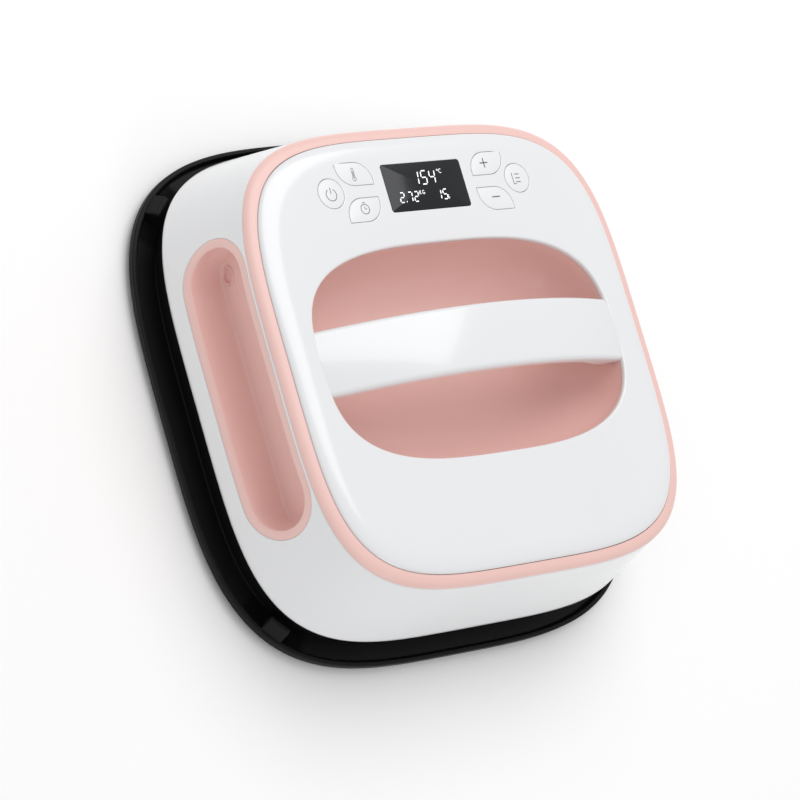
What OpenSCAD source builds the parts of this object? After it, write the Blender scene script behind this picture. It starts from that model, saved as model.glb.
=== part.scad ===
// Portable square heat press resting in its insulated stand.
// X runs along the carrying handle, +Y points to the display edge, Z is up.
// The origin is under the middle of the stand, on the surface that it rests on.

/* [Stand] */
// How far the stand reaches beyond the housing's widest line
stand_margin = 9.6; // [7:0.1:20]
// Roundness of the stand's outline (2 is a circle, larger is squarer)
stand_square = 3.6; // [3:0.1:5]
// Height of the stand's rim above its underside
stand_rim_h = 5.5; // [4:0.5:9]
// Thickness of the stand's rim at its top
stand_rim_w = 2.4; // [1.5:0.1:4]
// Thickness of the stand's floor
stand_floor_t = 2.5; // [2:0.1:3.5]
// Thickness of the heat-proof pad
pad_t = 1.5; // [1:0.1:3]
// How far the rubber feet stand out
foot_h = 3; // [2:0.5:6]
// Radius of a rubber foot
foot_r = 12; // [8:0.5:16]
// Distance of each foot's middle from the stand's edge
foot_inset = 41; // [39:1:60]
// Height of the corner guides above the stand's floor
guide_h = 9; // [4:0.5:10]
// Width of a corner guide
guide_w = 13; // [8:0.5:20]

/* [Heat plate] */
// Half width of the heat plate, which sets the size of everything round it
plate_half = 127; // [112:0.1:160]
// Thickness of the heat plate
plate_t = 8; // [6:0.5:10]
// Diameter of the tubular heating element
element_d = 6.4; // [5:0.1:8]
// How far a standoff lies past the middle between two of the element's runs
element_shift = 2; // [0:0.1:4]
// Thickness of the insulating blanket
blanket_t = 4; // [2:0.5:5]
// Thickness of the heat shield
shield_t = 1; // [0.6:0.1:1.5]
// Gap between a load cell and the housing's corner posts
cell_gap = 4.88; // [4:0.02:12]
// Radius of a plate standoff
standoff_r = 6; // [4:0.5:7]
// Height of a plate standoff
standoff_h = 16; // [15:0.5:20]

/* [Housing] */
// How far the housing reaches beyond the heat plate at its widest line
base_margin = 8.4; // [8:0.1:11]
// How far the housing's sides lean in between the widest line and the top edge
side_lean = 11.4; // [7:0.1:13]
// Roundness of the housing's outline
body_square = 4.1; // [3.6:0.1:4.6]
// Height of the housing's widest line above the heat plate's underside
wide_z = 18.4; // [17:0.1:21]
// Height from the plate's underside to the housing's top edge
housing_h = 74; // [72:0.1:90]
// Radius that rounds the housing's bottom edge
base_r = 5.5; // [3:0.5:6]
// Thickness of the housing, cover and bowl walls
wall = 2.5; // [2:0.1:3]
// Wall of the black skirt round the heat plate
skirt_t = 2.7; // [2:0.1:3]

/* [Cover] */
// Width of the coloured trim ring
trim_w = 6.35; // [5:0.05:9]
// Rise of the trim ring from its outer to its inner edge
trim_rise = 3.7; // [2:0.1:5]
// Rise of the cover's middle above the housing's top edge
cover_rise = 7; // [5.5:0.1:10]
// Length of the cover's rounded border
cover_border = 11; // [6:0.5:14]

/* [Hand recess] */
// Half length of the hand recess
bowl_half_x = 99.5; // [80:0.1:101]
// Half width of the hand recess
bowl_half_y = 58; // [48:0.5:60]
// Roundness of the recess's outline
bowl_square = 3.1; // [2.5:0.1:4]
// Depth of the hand recess below its rim
bowl_depth = 36; // [28:0.5:37]
// Reach of the rounding between the recess's wall and floor
bowl_round = 30; // [20:0.5:36]

/* [Handle] */
// Width of the handle
handle_w = 35; // [28:0.5:40]
// Rise of the handle's middle above its ends
handle_rise = 19.8; // [12:0.2:30]
// Thickness of the handle's upper shell
handle_upper_t = 6.5; // [5:0.5:8]
// Thickness of the handle's lower shell
handle_lower_t = 5.5; // [4:0.5:8]
// Extra depth of the lower shell close to its ends
handle_swell = 3.5; // [0:0.5:5]

/* [Side grips] */
// Half length of a side grip's straight stretch
grip_half = 57; // [45:0.5:58]
// Radius of a side grip's outer ends
grip_r = 22.4; // [18:0.1:22.6]
// Width of a side grip's flat border
grip_border = 4.8; // [3:0.1:7]
// Height of a side grip's middle above the plate's underside
grip_z = 50.2; // [49:0.1:51]
// Depth of a side grip's hollow behind its upper lip
trough_depth = 14.3; // [10:0.1:14.5]
// Corner radius of the hollow's back
trough_corner = 10; // [6:0.5:12]

/* [Keys and display] */
// Radius of a round key
round_key_r = 8.1; // [6:0.1:8.5]
// Place of the round keys, from the window's edge and middle
round_key_from = [36.5, -0.05]; // [-2:0.05:38]
// Width and depth of an upper leaf-shaped key
upper_key_size = [22.5, 12.5]; // [10:0.1:23]
// Place of the upper leaf-shaped keys, from the window's edge and middle
upper_key_from = [18.3, 9.6]; // [9:0.05:20]
// Width and depth of a lower leaf-shaped key
lower_key_size = [22, 12.8]; // [10:0.1:23]
// Place of the lower leaf-shaped keys, from the window's edge and middle
lower_key_from = [17.9, -10.25]; // [-12:0.05:19]
// Corner radius of a leaf-shaped key
leaf_r = 10.5; // [6:0.5:11]
// How far a key travels
key_travel = 0.8; // [0.4:0.1:0.9]
// Width and depth of the display window
window_size = [53.4, 26.3]; // [20:0.1:65]
// Distance of the display window's middle from the housing's top edge
window_inset = 34.85; // [34:0.05:36]

/* [Cord entry] */
// Radius of the hole that the mains cord passes through
cord_r = 3.6; // [2.5:0.1:4.5]
// Outer radius of the cord gland's collar
gland_r = 8; // [8:0.5:11]
// How far the gland stands out of its pocket's floor
gland_out = 2.5; // [2:0.5:7]
// How deep the pocket's floor lies in the leaning wall
gland_sunk = 2; // [1.5:0.1:4]

/* [Clearances] */
// Gap between fixed pieces that drop into each other
seat_gap = 0.3; // [0.15:0.05:0.4]
// Gap between a key and its hole
key_gap = 0.3; // [0.2:0.05:0.4]
// Radius of a screw's shank
screw_r = 1.5; // [1.2:0.1:1.7]

/* [Hidden] */
$fn = 48;
outline_points = 88;
eps = 0.01;

// Half widths that follow from the heat plate
base_half = plate_half + base_margin;
top_half = base_half - side_lean;
stand_half = base_half + stand_margin;
foot_at = stand_half - foot_inset;

// Heights of the stack, from the surface upwards
floor_z = foot_h + stand_floor_t;
pad_margin = 2;
foot_seat = 1;
plate_z = floor_z + pad_t;
plate_top = plate_z + plate_t;
top_z = plate_z + housing_h;
cover_z = top_z + cover_rise;
cover_under = cover_z - wall;
blanket_z = plate_top + element_d / 2 + seat_gap;
shield_z = blanket_z + blanket_t + 0.2;
blanket_inset = 9;
cell_z = plate_top + standoff_h;
cell_t = 5;
chassis_z = cell_z + cell_t;
chassis_t = 2;
chassis_top = chassis_z + chassis_t;
bowl_rim_z = cover_under - seat_gap;
flange_t = 2.5;
bowl_flange = 5;
opening_edge = 1.2;
chamfer = 0.3 * opening_edge;
wide_at = plate_z + wide_z;
skirt_gap = 0.8;
skirt_seat_gap = 0.2;
skirt_tongue = 10;
skirt_z = plate_z + 1;

// Outer width of the housing at a height above its widest line
function housing_half(z) = top_half + (base_half - top_half) * (top_z - z) / (top_z - wide_at);

// Inner widths that follow from the outer ones
flange_half_x = top_half - 10;
flange_half_y = top_half - 16;
trim_inset = 0.1;
cover_half = top_half - trim_w - seat_gap;
trim_square = body_square + 0.1;
chassis_half = top_half - 11;
post_inset = 23.47;
post_at = cover_half - post_inset;
cell_half = 15;
standoff_at = post_at - cell_half - cell_gap;
post_r = 5;
boss_r = 3.5;
side_screw_at = [40, top_half - 11.5];

// Heating element: spacing and half length of its runs, and where its two ends lie
element_pitch = (standoff_at - element_shift) / 2;
run = plate_half - element_pitch / 2 - 19;
element_end_x = -42;
groove_gap = 0.1;
terminal_l = 6;
terminal_pin_h = 8;
sensor_hole_r = 9;

// Side grips
grip_at_z = plate_z + grip_z;
trough_r = grip_r - grip_border;
trough_mouth = housing_half(grip_at_z + trough_r);
trough_back = trough_mouth - trough_depth;
trough_rise = trough_r - 1.3 - trough_corner;
trough_half = grip_half + trough_r - 5.1 - trough_corner;
grip_wall = 2.2;
grip_screw_at = [trough_half + 3.5, grip_at_z - trough_rise - 3];

// Control panel: its keys stand round the display window
window_y = top_half - window_inset;
window_edge = window_size[0] / 2;
round_key_at = [window_edge + round_key_from[0], window_y + round_key_from[1]];
upper_key_at = [window_edge + upper_key_from[0], window_y + upper_key_from[1]];
lower_key_at = [window_edge + lower_key_from[0], window_y + lower_key_from[1]];
board_t = 1.6;
panel_board_top = cover_under - 7.9;
panel_post_at = [round_key_at[0] + 8.5, 9];
panel_board_size = [2 * (panel_post_at[0] + 5.5), 36];
panel_board_y = window_y - 3;
flange_ring = 1.2;
key_flange_t = 1;
cap_top = cover_z + 0.05;
window_t = 1.6;
window_ledge = 2;
stem_z = cover_under - 0.2 - key_flange_t;
plunger_top = stem_z - 2;
switch_h = 3.6;
plunger_r = 1.7;

// Power board
power_board_z = chassis_top + 5;
power_board_size = [112, 44];
power_board_y = -(bowl_half_y + 30);
power_top = power_board_z + board_t;
block_x = -48;

// Handle
handle_end = bowl_half_x - 1.1;
handle_end_z = cover_z + 0.3;
tab_t = 4;
tab_z = cover_under - tab_t - 4;
tab_reach = 12;
tab_w = 26;
tab_screw_y = 8;
tab_screw_x = bowl_half_x + tab_reach / 2;
handle_edge_r = 3;
handle_crown = 0.8;
handle_low_edge_r = 4;
handle_lower_inset = 0.6;

// Cord entry
gland_z = chassis_top + gland_r - 0.5;
gland_face_y = housing_half(gland_z + gland_r) - gland_sunk;
gland_flange_t = 1.6;
gland_thread = 14;
gland_nut_t = 4;
gland_seat = 3;
pocket_r = gland_r + 0.8;

// ---- shared shapes ----

// Superellipse outline: each point lies where |x/a|^n + |y/b|^n = 1
function outline(a, b, n) = [
  for (i = [0 : outline_points - 1])
    let (
      t = 360 * i / outline_points,
      r = pow(pow(abs(cos(t)) / a, n) + pow(abs(sin(t)) / b, n), -1 / n)
    )
    [r * cos(t), r * sin(t)]
];

// All points of a loft whose rows are [half x, half y, squareness, height]
function loft_points(rows) = [
  for (row = rows)
    for (p = outline(row[0], row[1], row[2]))
      [p[0], p[1], row[3]]
];

// Four-sided faces between row j and row k of a loft
function loft_sides(j, k) = [
  for (i = [0 : outline_points - 1])
    let (next = (i + 1) % outline_points)
    [j * outline_points + i, k * outline_points + i, k * outline_points + next, j * outline_points + next]
];

// Ring-shaped loft: the rows go round a closed section, up the outside and down the inside
module loft_ring(rows) {
  count = len(rows);
  polyhedron(
    loft_points(rows),
    [for (j = [0 : count - 1]) each loft_sides(j, (j + 1) % count)],
    convexity = 8
  );
}

// Solid loft, closed by its first and last rows
module loft_solid(rows) {
  count = len(rows);
  last = (count - 1) * outline_points;
  polyhedron(
    loft_points(rows),
    concat(
      [[for (i = [0 : outline_points - 1]) i]],
      [for (j = [0 : count - 2]) each loft_sides(j, j + 1)],
      [[for (i = [outline_points - 1 : -1 : 0]) last + i]]
    ),
    convexity = 8
  );
}

// Flat plate with a superellipse outline
module slab(half, square, z, t) {
  translate([0, 0, z])
    linear_extrude(t)
      polygon(outline(half, half, square));
}

// Tube swept along a path of points, with flat ends
module lead(path, r) {
  sides = 8;
  count = len(path);
  function dir(i) = path[min(i + 1, count - 1)] - path[max(i - 1, 0)];
  function side_of(d) = let (s = cross(d, abs(d[2]) > 0.9 * norm(d) ? [0, 1, 0] : [0, 0, 1])) s / norm(s);
  points = [
    for (i = [0 : count - 1])
      let (d = dir(i) / norm(dir(i)), u = side_of(d), v = cross(u, d))
      for (k = [0 : sides - 1])
        path[i] + r * (cos(360 * k / sides) * u + sin(360 * k / sides) * v)
  ];
  faces = concat(
    [[for (k = [0 : sides - 1]) k]],
    [for (i = [0 : count - 2]) for (k = [0 : sides - 1])
      [i * sides + k, (i + 1) * sides + k, (i + 1) * sides + (k + 1) % sides, i * sides + (k + 1) % sides]],
    [[for (k = [sides - 1 : -1 : 0]) (count - 1) * sides + k]]
  );
  polyhedron(points, faces, convexity = 6);
}

module at_corners(d) {
  for (x = [-d, d])
    for (y = [-d, d])
      translate([x, y, 0])
        children();
}

// Pan-head screw pointing up; its head sits below z = 0
module screw(length, r = screw_r) {
  translate([0, 0, -2.2])
    difference() {
      cylinder(h = 2.2, r = 2 * r);
      translate([-1.4 * r, -0.3, -eps])
        cube([2.8 * r, 0.6, 0.9]);
      translate([-0.3, -1.4 * r, -eps])
        cube([0.6, 2.8 * r, 0.9]);
    }
  cylinder(h = length, r = r);
}

// Stadium-shaped bar lying along Y, seen along X
module stadium(half, r, length) {
  rotate([0, 90, 0])
    linear_extrude(length)
      polygon(concat(
        [for (a = [0 : 7.5 : 180]) [r * cos(a), half + r * sin(a)]],
        [for (a = [180 : 7.5 : 360]) [r * cos(a), -half + r * sin(a)]]
      ));
}

// Oblong with rounded corners: its corner arcs lie at [+-half, +-rise]
function oblong(half, rise, r) = [
  for (k = [0 : 3])
    for (a = [90 * k : 9 : 90 * k + 90])
      [(k == 0 || k == 3 ? half : -half) + r * cos(a), (k < 2 ? rise : -rise) + r * sin(a)]
];

// Solid along X whose rows are [x, half, rise, radius]
module oblong_loft(rows) {
  sides = len(oblong(1, 1, 1));
  last = (len(rows) - 1) * sides;
  polyhedron(
    [for (row = rows) for (p = oblong(row[1], row[2], row[3])) [row[0], p[0], p[1]]],
    concat(
      [[for (i = [0 : sides - 1]) i]],
      [for (j = [0 : len(rows) - 2]) for (i = [0 : sides - 1])
        let (next = (i + 1) % sides)
        [j * sides + i, (j + 1) * sides + i, (j + 1) * sides + next, j * sides + next]],
      [[for (i = [sides - 1 : -1 : 0]) last + i]]
    ),
    convexity = 4
  );
}

// Leaf outline: sharp upper left and lower right corners, the other two rounded
function leaf(size, r) =
  let (w = size[0] / 2, h = size[1] / 2)
  concat(
    [for (a = [180 : 9 : 270]) [-w + r + r * cos(a), -h + r + r * sin(a)]],
    [[w, -h]],
    [for (a = [0 : 9 : 90]) [w - r + r * cos(a), h - r + r * sin(a)]],
    [[-w, h]]
  );

// ---- stand ----

module stand_guide() {
  inner = base_half * pow(2, 0.5 - 1 / body_square) - 2;
  outer = stand_half * pow(2, 0.5 - 1 / stand_square) - stand_rim_w;
  translate([inner, -guide_w / 2, floor_z - eps])
    cube([outer - inner, guide_w, guide_h * 0.55]);
  translate([inner + 2, guide_w / 2, floor_z - eps])
    rotate([90, 0, 0])
      linear_extrude(guide_w)
        polygon([[0, 0], [outer - inner - 2, 0], [outer - inner - 2, 3], [0, guide_h]]);
}

module stand_tray() {
  color([0.04, 0.04, 0.045])
    difference() {
      union() {
        loft_solid([
          [stand_half - 2, stand_half - 2, stand_square, foot_h],
          [stand_half, stand_half, stand_square, foot_h + 1.2],
          [stand_half, stand_half, stand_square, foot_h + stand_rim_h],
          [stand_half - stand_rim_w, stand_half - stand_rim_w, stand_square, foot_h + stand_rim_h],
          [stand_half - stand_rim_w - 1, stand_half - stand_rim_w - 1, stand_square, floor_z]
        ]);
        for (a = [45 : 90 : 315])
          rotate([0, 0, a])
            stand_guide();
      }
      at_corners(foot_at)
        translate([0, 0, foot_h - eps])
          cylinder(h = foot_seat + eps, r = foot_r + 0.1);
    }
}

module stand_pad() {
  color([0.16, 0.16, 0.17])
    slab(plate_half + pad_margin, body_square, floor_z, pad_t);
}

module stand_feet() {
  color([0.1, 0.1, 0.1])
    at_corners(foot_at)
      difference() {
        cylinder(h = foot_h + foot_seat, r = foot_r);
        translate([0, 0, -eps])
          cylinder(h = 1, r = foot_r / 3);
      }
}

// ---- housing ----

module housing_wall(extra = 0) {
  loft_solid([
    [base_half + extra, base_half + extra, body_square, wide_at],
    [housing_half(top_z) + extra, housing_half(top_z) + extra, body_square, top_z - 0.1]
  ]);
}

module grip_openings(r) {
  for (side = [-1, 1])
    mirror([side < 0 ? 1 : 0, 0, 0])
      translate([trough_mouth - 9, 0, grip_at_z])
        stadium(grip_half, r, 30);
}

module corner_post() {
  difference() {
    union() {
      translate([0, 0, chassis_top])
        cylinder(h = top_z - flange_t - chassis_top, r = post_r);
      rotate([0, 0, 45])
        translate([0, -1.2, chassis_top + 8])
          cube([9.5, 2.4, top_z - flange_t - chassis_top - 8]);
    }
    translate([0, 0, chassis_top - eps])
      cylinder(h = top_z - chassis_top, r = screw_r + 0.3);
  }
}

module housing_shell() {
  inner_low = skirt_outer();
  color([0.94, 0.94, 0.95])
    difference() {
      union() {
        loft_ring([
          [inner_low, inner_low, body_square, wide_at - base_r],
          [base_half - base_r, base_half - base_r, body_square, wide_at - base_r],
          [base_half - base_r * 0.5, base_half - base_r * 0.5, body_square, wide_at - base_r * 0.866],
          [base_half - base_r * 0.134, base_half - base_r * 0.134, body_square, wide_at - base_r * 0.5],
          [base_half, base_half, body_square, wide_at],
          [top_half, top_half, body_square, top_z - 0.1],
          [flange_half_x, flange_half_y, body_square, top_z - 0.1],
          [flange_half_x, flange_half_y, body_square, top_z - flange_t],
          [top_half - wall, top_half - wall, body_square, top_z - flange_t],
          [base_half - wall, base_half - wall, body_square, wide_at],
          [inner_low, inner_low, body_square, wide_at - base_r + wall]
        ]);
        for (a = [0 : 90 : 270])
          rotate([0, 0, a])
            translate([post_at, post_at, 0])
              corner_post();
        intersection() {
          translate([0, gland_face_y - gland_seat, gland_z])
            rotate([-90, 0, 0])
              cylinder(h = 20, r = pocket_r + wall);
          housing_wall();
        }
      }
      grip_openings(grip_r + seat_gap / 2);
      translate([0, gland_face_y - 15, gland_z])
        rotate([-90, 0, 0])
          cylinder(h = 30, r = gland_r - 1);
      translate([0, gland_face_y, gland_z])
        rotate([-90, 0, 0])
          cylinder(h = 20, r = pocket_r);
      for (x = [-1, 1])
        for (y = [-1, 1])
          translate([x * side_screw_at[0], y * side_screw_at[1], top_z - 5])
            cylinder(h = 10, r = screw_r + 0.2);
      at_corners(post_at)
        translate([0, 0, top_z - 5])
          cylinder(h = 10, r = screw_r + 0.3);
    }
}

module trim_ring() {
  outer = top_half - trim_inset;
  inner = top_half - trim_w;
  color([0.89, 0.72, 0.69])
    loft_ring([
      [inner, inner, trim_square, top_z],
      [outer, outer, body_square, top_z],
      [outer - 0.5, outer - 0.5, body_square, top_z + trim_rise * 0.35],
      [outer - trim_w * 0.3, outer - trim_w * 0.3, body_square, top_z + trim_rise * 0.7],
      [outer - trim_w * 0.65, outer - trim_w * 0.65, body_square, top_z + trim_rise * 0.95],
      [inner, inner, trim_square, top_z + trim_rise]
    ]);
}

// Rows of the cover's outer border, from its foot to the level middle
function border_rows() = [
  for (s = [0 : 0.2 : 1])
    let (half = cover_half - cover_border * (1 - cos(90 * s)))
    [half, half, trim_square, top_z + trim_rise + (cover_rise - trim_rise) * sin(90 * s)]
];

module leaf_hole(at, size, flip) {
  for (side = [-1, 1])
    translate([side * at[0], at[1], cover_under - 5])
      mirror([side * flip > 0 ? 1 : 0, 0, 0])
        linear_extrude(20)
          polygon(leaf([size[0] + 2 * key_gap, size[1] + 2 * key_gap], leaf_r + key_gap));
}

module window_block(size, z, h) {
  translate([-size[0] / 2, window_y - size[1] / 2, z])
    cube([size[0], size[1], h]);
}

module top_cover() {
  opening_x = bowl_half_x;
  opening_y = bowl_half_y;
  inner = cover_half - wall;
  color([0.95, 0.95, 0.96])
    difference() {
      union() {
        loft_ring(concat(
          [[inner, inner, trim_square, top_z], [cover_half, cover_half, trim_square, top_z]],
          border_rows(),
          [
            [opening_x + opening_edge, opening_y + opening_edge, bowl_square, cover_z],
            [opening_x + chamfer, opening_y + chamfer, bowl_square, cover_z - chamfer],
            [opening_x, opening_y, bowl_square, cover_z - opening_edge],
            [opening_x, opening_y, bowl_square, cover_under],
            [inner - 3, inner - 3, trim_square, cover_under],
            [inner, inner, trim_square, top_z + trim_rise - 1]
          ]
        ));
        for (x = [-1, 1])
          for (y = [-1, 1]) {
            translate([x * side_screw_at[0], y * side_screw_at[1], top_z])
              cylinder(h = cover_under - top_z + 1, r = boss_r);
            translate([x * post_at, y * post_at, top_z])
              cylinder(h = cover_under - top_z + 0.5, r = boss_r);
            translate([x * tab_screw_x, y * tab_screw_y, tab_z + tab_t])
              cylinder(h = cover_under - tab_z - tab_t + 1, r = boss_r);
            translate([x * panel_post_at[0], window_y + y * panel_post_at[1], panel_board_top])
              cylinder(h = cover_under - panel_board_top + 1, r = 3);
          }
      }
      for (x = [-1, 1])
        for (y = [-1, 1]) {
          translate([x * side_screw_at[0], y * side_screw_at[1], top_z - eps])
            cylinder(h = 4, r = screw_r);
          translate([x * post_at, y * post_at, top_z - eps])
            cylinder(h = 4, r = screw_r);
          translate([x * tab_screw_x, y * tab_screw_y, tab_z])
            cylinder(h = 7.5, r = screw_r);
          translate([x * panel_post_at[0], window_y + y * panel_post_at[1], panel_board_top - eps])
            cylinder(h = 6, r = 1.1);
        }
      for (side = [-1, 1])
        translate([side * round_key_at[0], round_key_at[1], cover_under - 5])
          cylinder(h = 20, r = round_key_r + key_gap);
      leaf_hole(upper_key_at, upper_key_size, 1);
      leaf_hole(lower_key_at, lower_key_size, -1);
      window_block(window_size + [seat_gap, seat_gap], cover_z - window_t, 5);
      window_block(window_size - [2, 2] * window_ledge, cover_under - 5, 10);
    }
}

// Rows of the hand recess: a quarter ellipse from the upright rim to the level floor
function bowl_rows(grow, steps, down) = [
  for (i = [0 : steps])
    let (
      s = down ? i / steps : 1 - i / steps,
      inset = bowl_round * (1 - cos(90 * s)) - grow
    )
    [
      bowl_half_x - inset, bowl_half_y - inset, bowl_square,
      bowl_rim_z - 1 - grow * s - bowl_depth * sin(90 * s)
    ]
];

module hand_recess() {
  flange = bowl_flange;
  color([0.85, 0.68, 0.65])
    difference() {
      loft_solid(concat(
        bowl_rows(wall, 7, false),
        [
          [bowl_half_x + flange, bowl_half_y + flange, bowl_square, bowl_rim_z - 1.5],
          [bowl_half_x + flange, bowl_half_y + flange, bowl_square, bowl_rim_z],
          [bowl_half_x, bowl_half_y, bowl_square, bowl_rim_z]
        ],
        bowl_rows(0, 7, true)
      ));
      for (side = [-1, 1])
        translate([side * (bowl_half_x + 2) - 9, -tab_w / 2 - 0.5, tab_z - seat_gap])
          cube([18, tab_w + 1, 20]);
    }
}

// ---- handle ----

// Height of the handle's top line at x
function arch(x) = handle_end_z + handle_rise * (1 - pow(x / handle_end, 2));

// Depth of the lower shell at x, swelling near the ends
function lower_depth(x) =
  handle_lower_t + handle_swell * exp(-pow((abs(x) - 0.86 * handle_end) / 10, 2));

// Loft of sections across the handle; each section is a list of [y, z] seen from the right
module handle_loft(sections, xs) {
  count = len(xs);
  sides = len(sections[0]);
  points = [for (i = [0 : count - 1]) for (p = sections[i]) [xs[i], p[0], p[1]]];
  polyhedron(
    points,
    concat(
      [[for (k = [0 : sides - 1]) k]],
      [for (i = [0 : count - 2]) for (k = [0 : sides - 1])
        [i * sides + k, (i + 1) * sides + k, (i + 1) * sides + (k + 1) % sides, i * sides + (k + 1) % sides]],
      [[for (k = [sides - 1 : -1 : 0]) (count - 1) * sides + k]]
    ),
    convexity = 4
  );
}

// Upper section: crowned top with rounded edges over a flat joint line
function upper_section(x) =
  let (w = handle_w / 2, r = handle_edge_r, top = arch(x), side_top = top - handle_crown)
  concat(
    [[-w, top - handle_upper_t], [w, top - handle_upper_t]],
    [for (a = [0 : 22.5 : 90]) [w - r + r * cos(a), side_top - r + r * sin(a)]],
    [[w / 2, top - handle_crown / 4], [0, top], [-w / 2, top - handle_crown / 4]],
    [for (a = [90 : 22.5 : 180]) [-w + r + r * cos(a), side_top - r + r * sin(a)]]
  );

// Lower section: hangs from the joint line with well rounded edges
function lower_section(x) =
  let (w = handle_w / 2 - handle_lower_inset, r = handle_low_edge_r)
  let (top = arch(x) - handle_upper_t - 0.05, low = top - lower_depth(x))
  concat(
    [for (a = [180 : 22.5 : 270]) [-w + r + r * cos(a), low + r + r * sin(a)]],
    [for (a = [270 : 22.5 : 360]) [w - r + r * cos(a), low + r + r * sin(a)]],
    [[w, top], [-w, top]]
  );

module handle_upper() {
  xs = [for (i = [-14 : 14]) handle_end * i / 14];
  color([0.95, 0.95, 0.96])
    handle_loft([for (x = xs) upper_section(x)], xs);
}

module handle_lower() {
  reach = handle_end - 1.2;
  xs = [for (i = [-14 : 14]) max(-reach, min(reach, handle_end * i / 14))];
  color([0.93, 0.93, 0.94])
    difference() {
      union() {
        handle_loft([for (x = xs) lower_section(x)], xs);
        for (side = [-1, 1])
          translate([side > 0 ? bowl_half_x - 8 : -bowl_half_x - tab_reach, -tab_w / 2, tab_z])
            cube([tab_reach + 8, tab_w, tab_t]);
      }
      for (x = [-1, 1])
        for (y = [-1, 1])
          translate([x * tab_screw_x, y * tab_screw_y, tab_z - eps])
            cylinder(h = 10, r = screw_r + 0.2);
    }
}

module handle_screws() {
  color("silver")
    for (x = [-1, 1])
      for (y = [-1, 1])
        translate([x * tab_screw_x, y * tab_screw_y, tab_z])
          screw(7.4);
}

// ---- side grips ----

// Space inside a side grip, grown by a margin: a level mouth that narrows towards its back
module grip_hollow(grow) {
  mouth_r = trough_r - 0.5 + grow;
  translate([0, 0, grip_at_z])
    oblong_loft([
      [trough_back - grow, trough_half, trough_rise, trough_corner + grow],
      [trough_mouth, grip_half, 0.5, mouth_r],
      [trough_mouth + 15, grip_half, 0.5, mouth_r]
    ]);
}

module side_grip() {
  difference() {
    union() {
      intersection() {
        translate([trough_mouth - 9, 0, grip_at_z])
          stadium(grip_half, grip_r, 22);
        difference() {
          housing_wall();
          housing_wall(-wall);
        }
      }
      intersection() {
        grip_hollow(grip_wall);
        housing_wall(-0.4);
      }
    }
    grip_hollow(0);
    grip_screw_seat();
  }
}

// Hole and sunk seat for the screw in the lower rear corner of a hollow's back
module grip_screw_seat() {
  translate([trough_back - grip_wall, grip_screw_at[0], grip_screw_at[1]])
    rotate([0, 90, 0]) {
      translate([0, 0, -1])
        cylinder(h = grip_wall + 2, r = 2.6);
      translate([0, 0, grip_wall - 0.6])
        cylinder(h = 4, r = 5.15);
    }
}

module side_grip_right() {
  color([0.86, 0.69, 0.66])
    side_grip();
}

module side_grip_left() {
  color([0.86, 0.69, 0.66])
    mirror([1, 0, 0])
      side_grip();
}

module grip_screw_caps() {
  color([0.84, 0.67, 0.64])
    for (side = [-1, 1])
      mirror([side < 0 ? 1 : 0, 0, 0])
        translate([trough_back - grip_wall, grip_screw_at[0], grip_screw_at[1]])
          rotate([0, 90, 0]) {
            cylinder(h = grip_wall - 0.6, r = 2.5);
            translate([0, 0, grip_wall - 0.6])
              cylinder(h = 1, r = 5);
          }
}

// ---- display and keys ----

module display_window() {
  color([0.06, 0.07, 0.1])
    translate([0, window_y, cover_z - window_t])
      difference() {
        translate([-window_size[0] / 2, -window_size[1] / 2, 0])
          cube([window_size[0], window_size[1], window_t]);
        translate([-window_size[0] / 2 + 3, -window_size[1] / 2 + 3, -eps])
          cube([window_size[0] - 6, window_size[1] - 6, 0.4]);
      }
}

module display_module() {
  depth = cover_under - 0.3 - panel_board_top;
  color([0.2, 0.22, 0.26])
    translate([-window_size[0] / 2 - 1, window_y - window_size[1] / 2 - 1, panel_board_top])
      difference() {
        cube([window_size[0] + 2, window_size[1] + 2, depth]);
        translate([3, 3, depth - 0.6])
          cube([window_size[0] - 4, window_size[1] - 4, 2]);
      }
}

// Stem that joins a key's retaining flange to its plunger
module key_stem() {
  translate([0, 0, plunger_top])
    cylinder(h = stem_z - plunger_top + eps, r = 2);
}

module round_key(at) {
  translate([at[0], at[1], 0]) {
    translate([0, 0, stem_z + key_flange_t])
      cylinder(h = cap_top - stem_z - key_flange_t, r = round_key_r);
    translate([0, 0, stem_z])
      cylinder(h = key_flange_t, r = round_key_r + flange_ring);
    key_stem();
  }
}

module leaf_key(at, size, flip) {
  translate([at[0], at[1], 0]) {
    mirror([flip ? 1 : 0, 0, 0]) {
      translate([0, 0, stem_z + key_flange_t])
        linear_extrude(cap_top - stem_z - key_flange_t)
          polygon(leaf(size, leaf_r));
      translate([0, 0, stem_z])
        linear_extrude(key_flange_t)
          polygon(leaf([size[0] + 2 * flange_ring, size[1] + 2 * flange_ring], leaf_r + flange_ring));
    }
    key_stem();
  }
}

module plunger(at) {
  bottom = panel_board_top + switch_h - 1.6;
  color([0.1, 0.1, 0.1])
    translate([at[0], at[1], bottom])
      cylinder(h = plunger_top - bottom, r = plunger_r);
}

function to_left(at) = [-at[0], at[1]];

module power_key() {
  color([0.96, 0.96, 0.97])
    round_key(to_left(round_key_at));
}

module mode_key() {
  color([0.96, 0.96, 0.97])
    round_key(round_key_at);
}

module temperature_key() {
  color([0.96, 0.96, 0.97])
    leaf_key(to_left(upper_key_at), upper_key_size, false);
}

module plus_key() {
  color([0.96, 0.96, 0.97])
    leaf_key(upper_key_at, upper_key_size, true);
}

module timer_key() {
  color([0.96, 0.96, 0.97])
    leaf_key(to_left(lower_key_at), lower_key_size, true);
}

module minus_key() {
  color([0.96, 0.96, 0.97])
    leaf_key(lower_key_at, lower_key_size, false);
}

module power_plunger() {
  plunger(to_left(round_key_at));
}

module mode_plunger() {
  plunger(round_key_at);
}

module temperature_plunger() {
  plunger(to_left(upper_key_at));
}

module plus_plunger() {
  plunger(upper_key_at);
}

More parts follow.
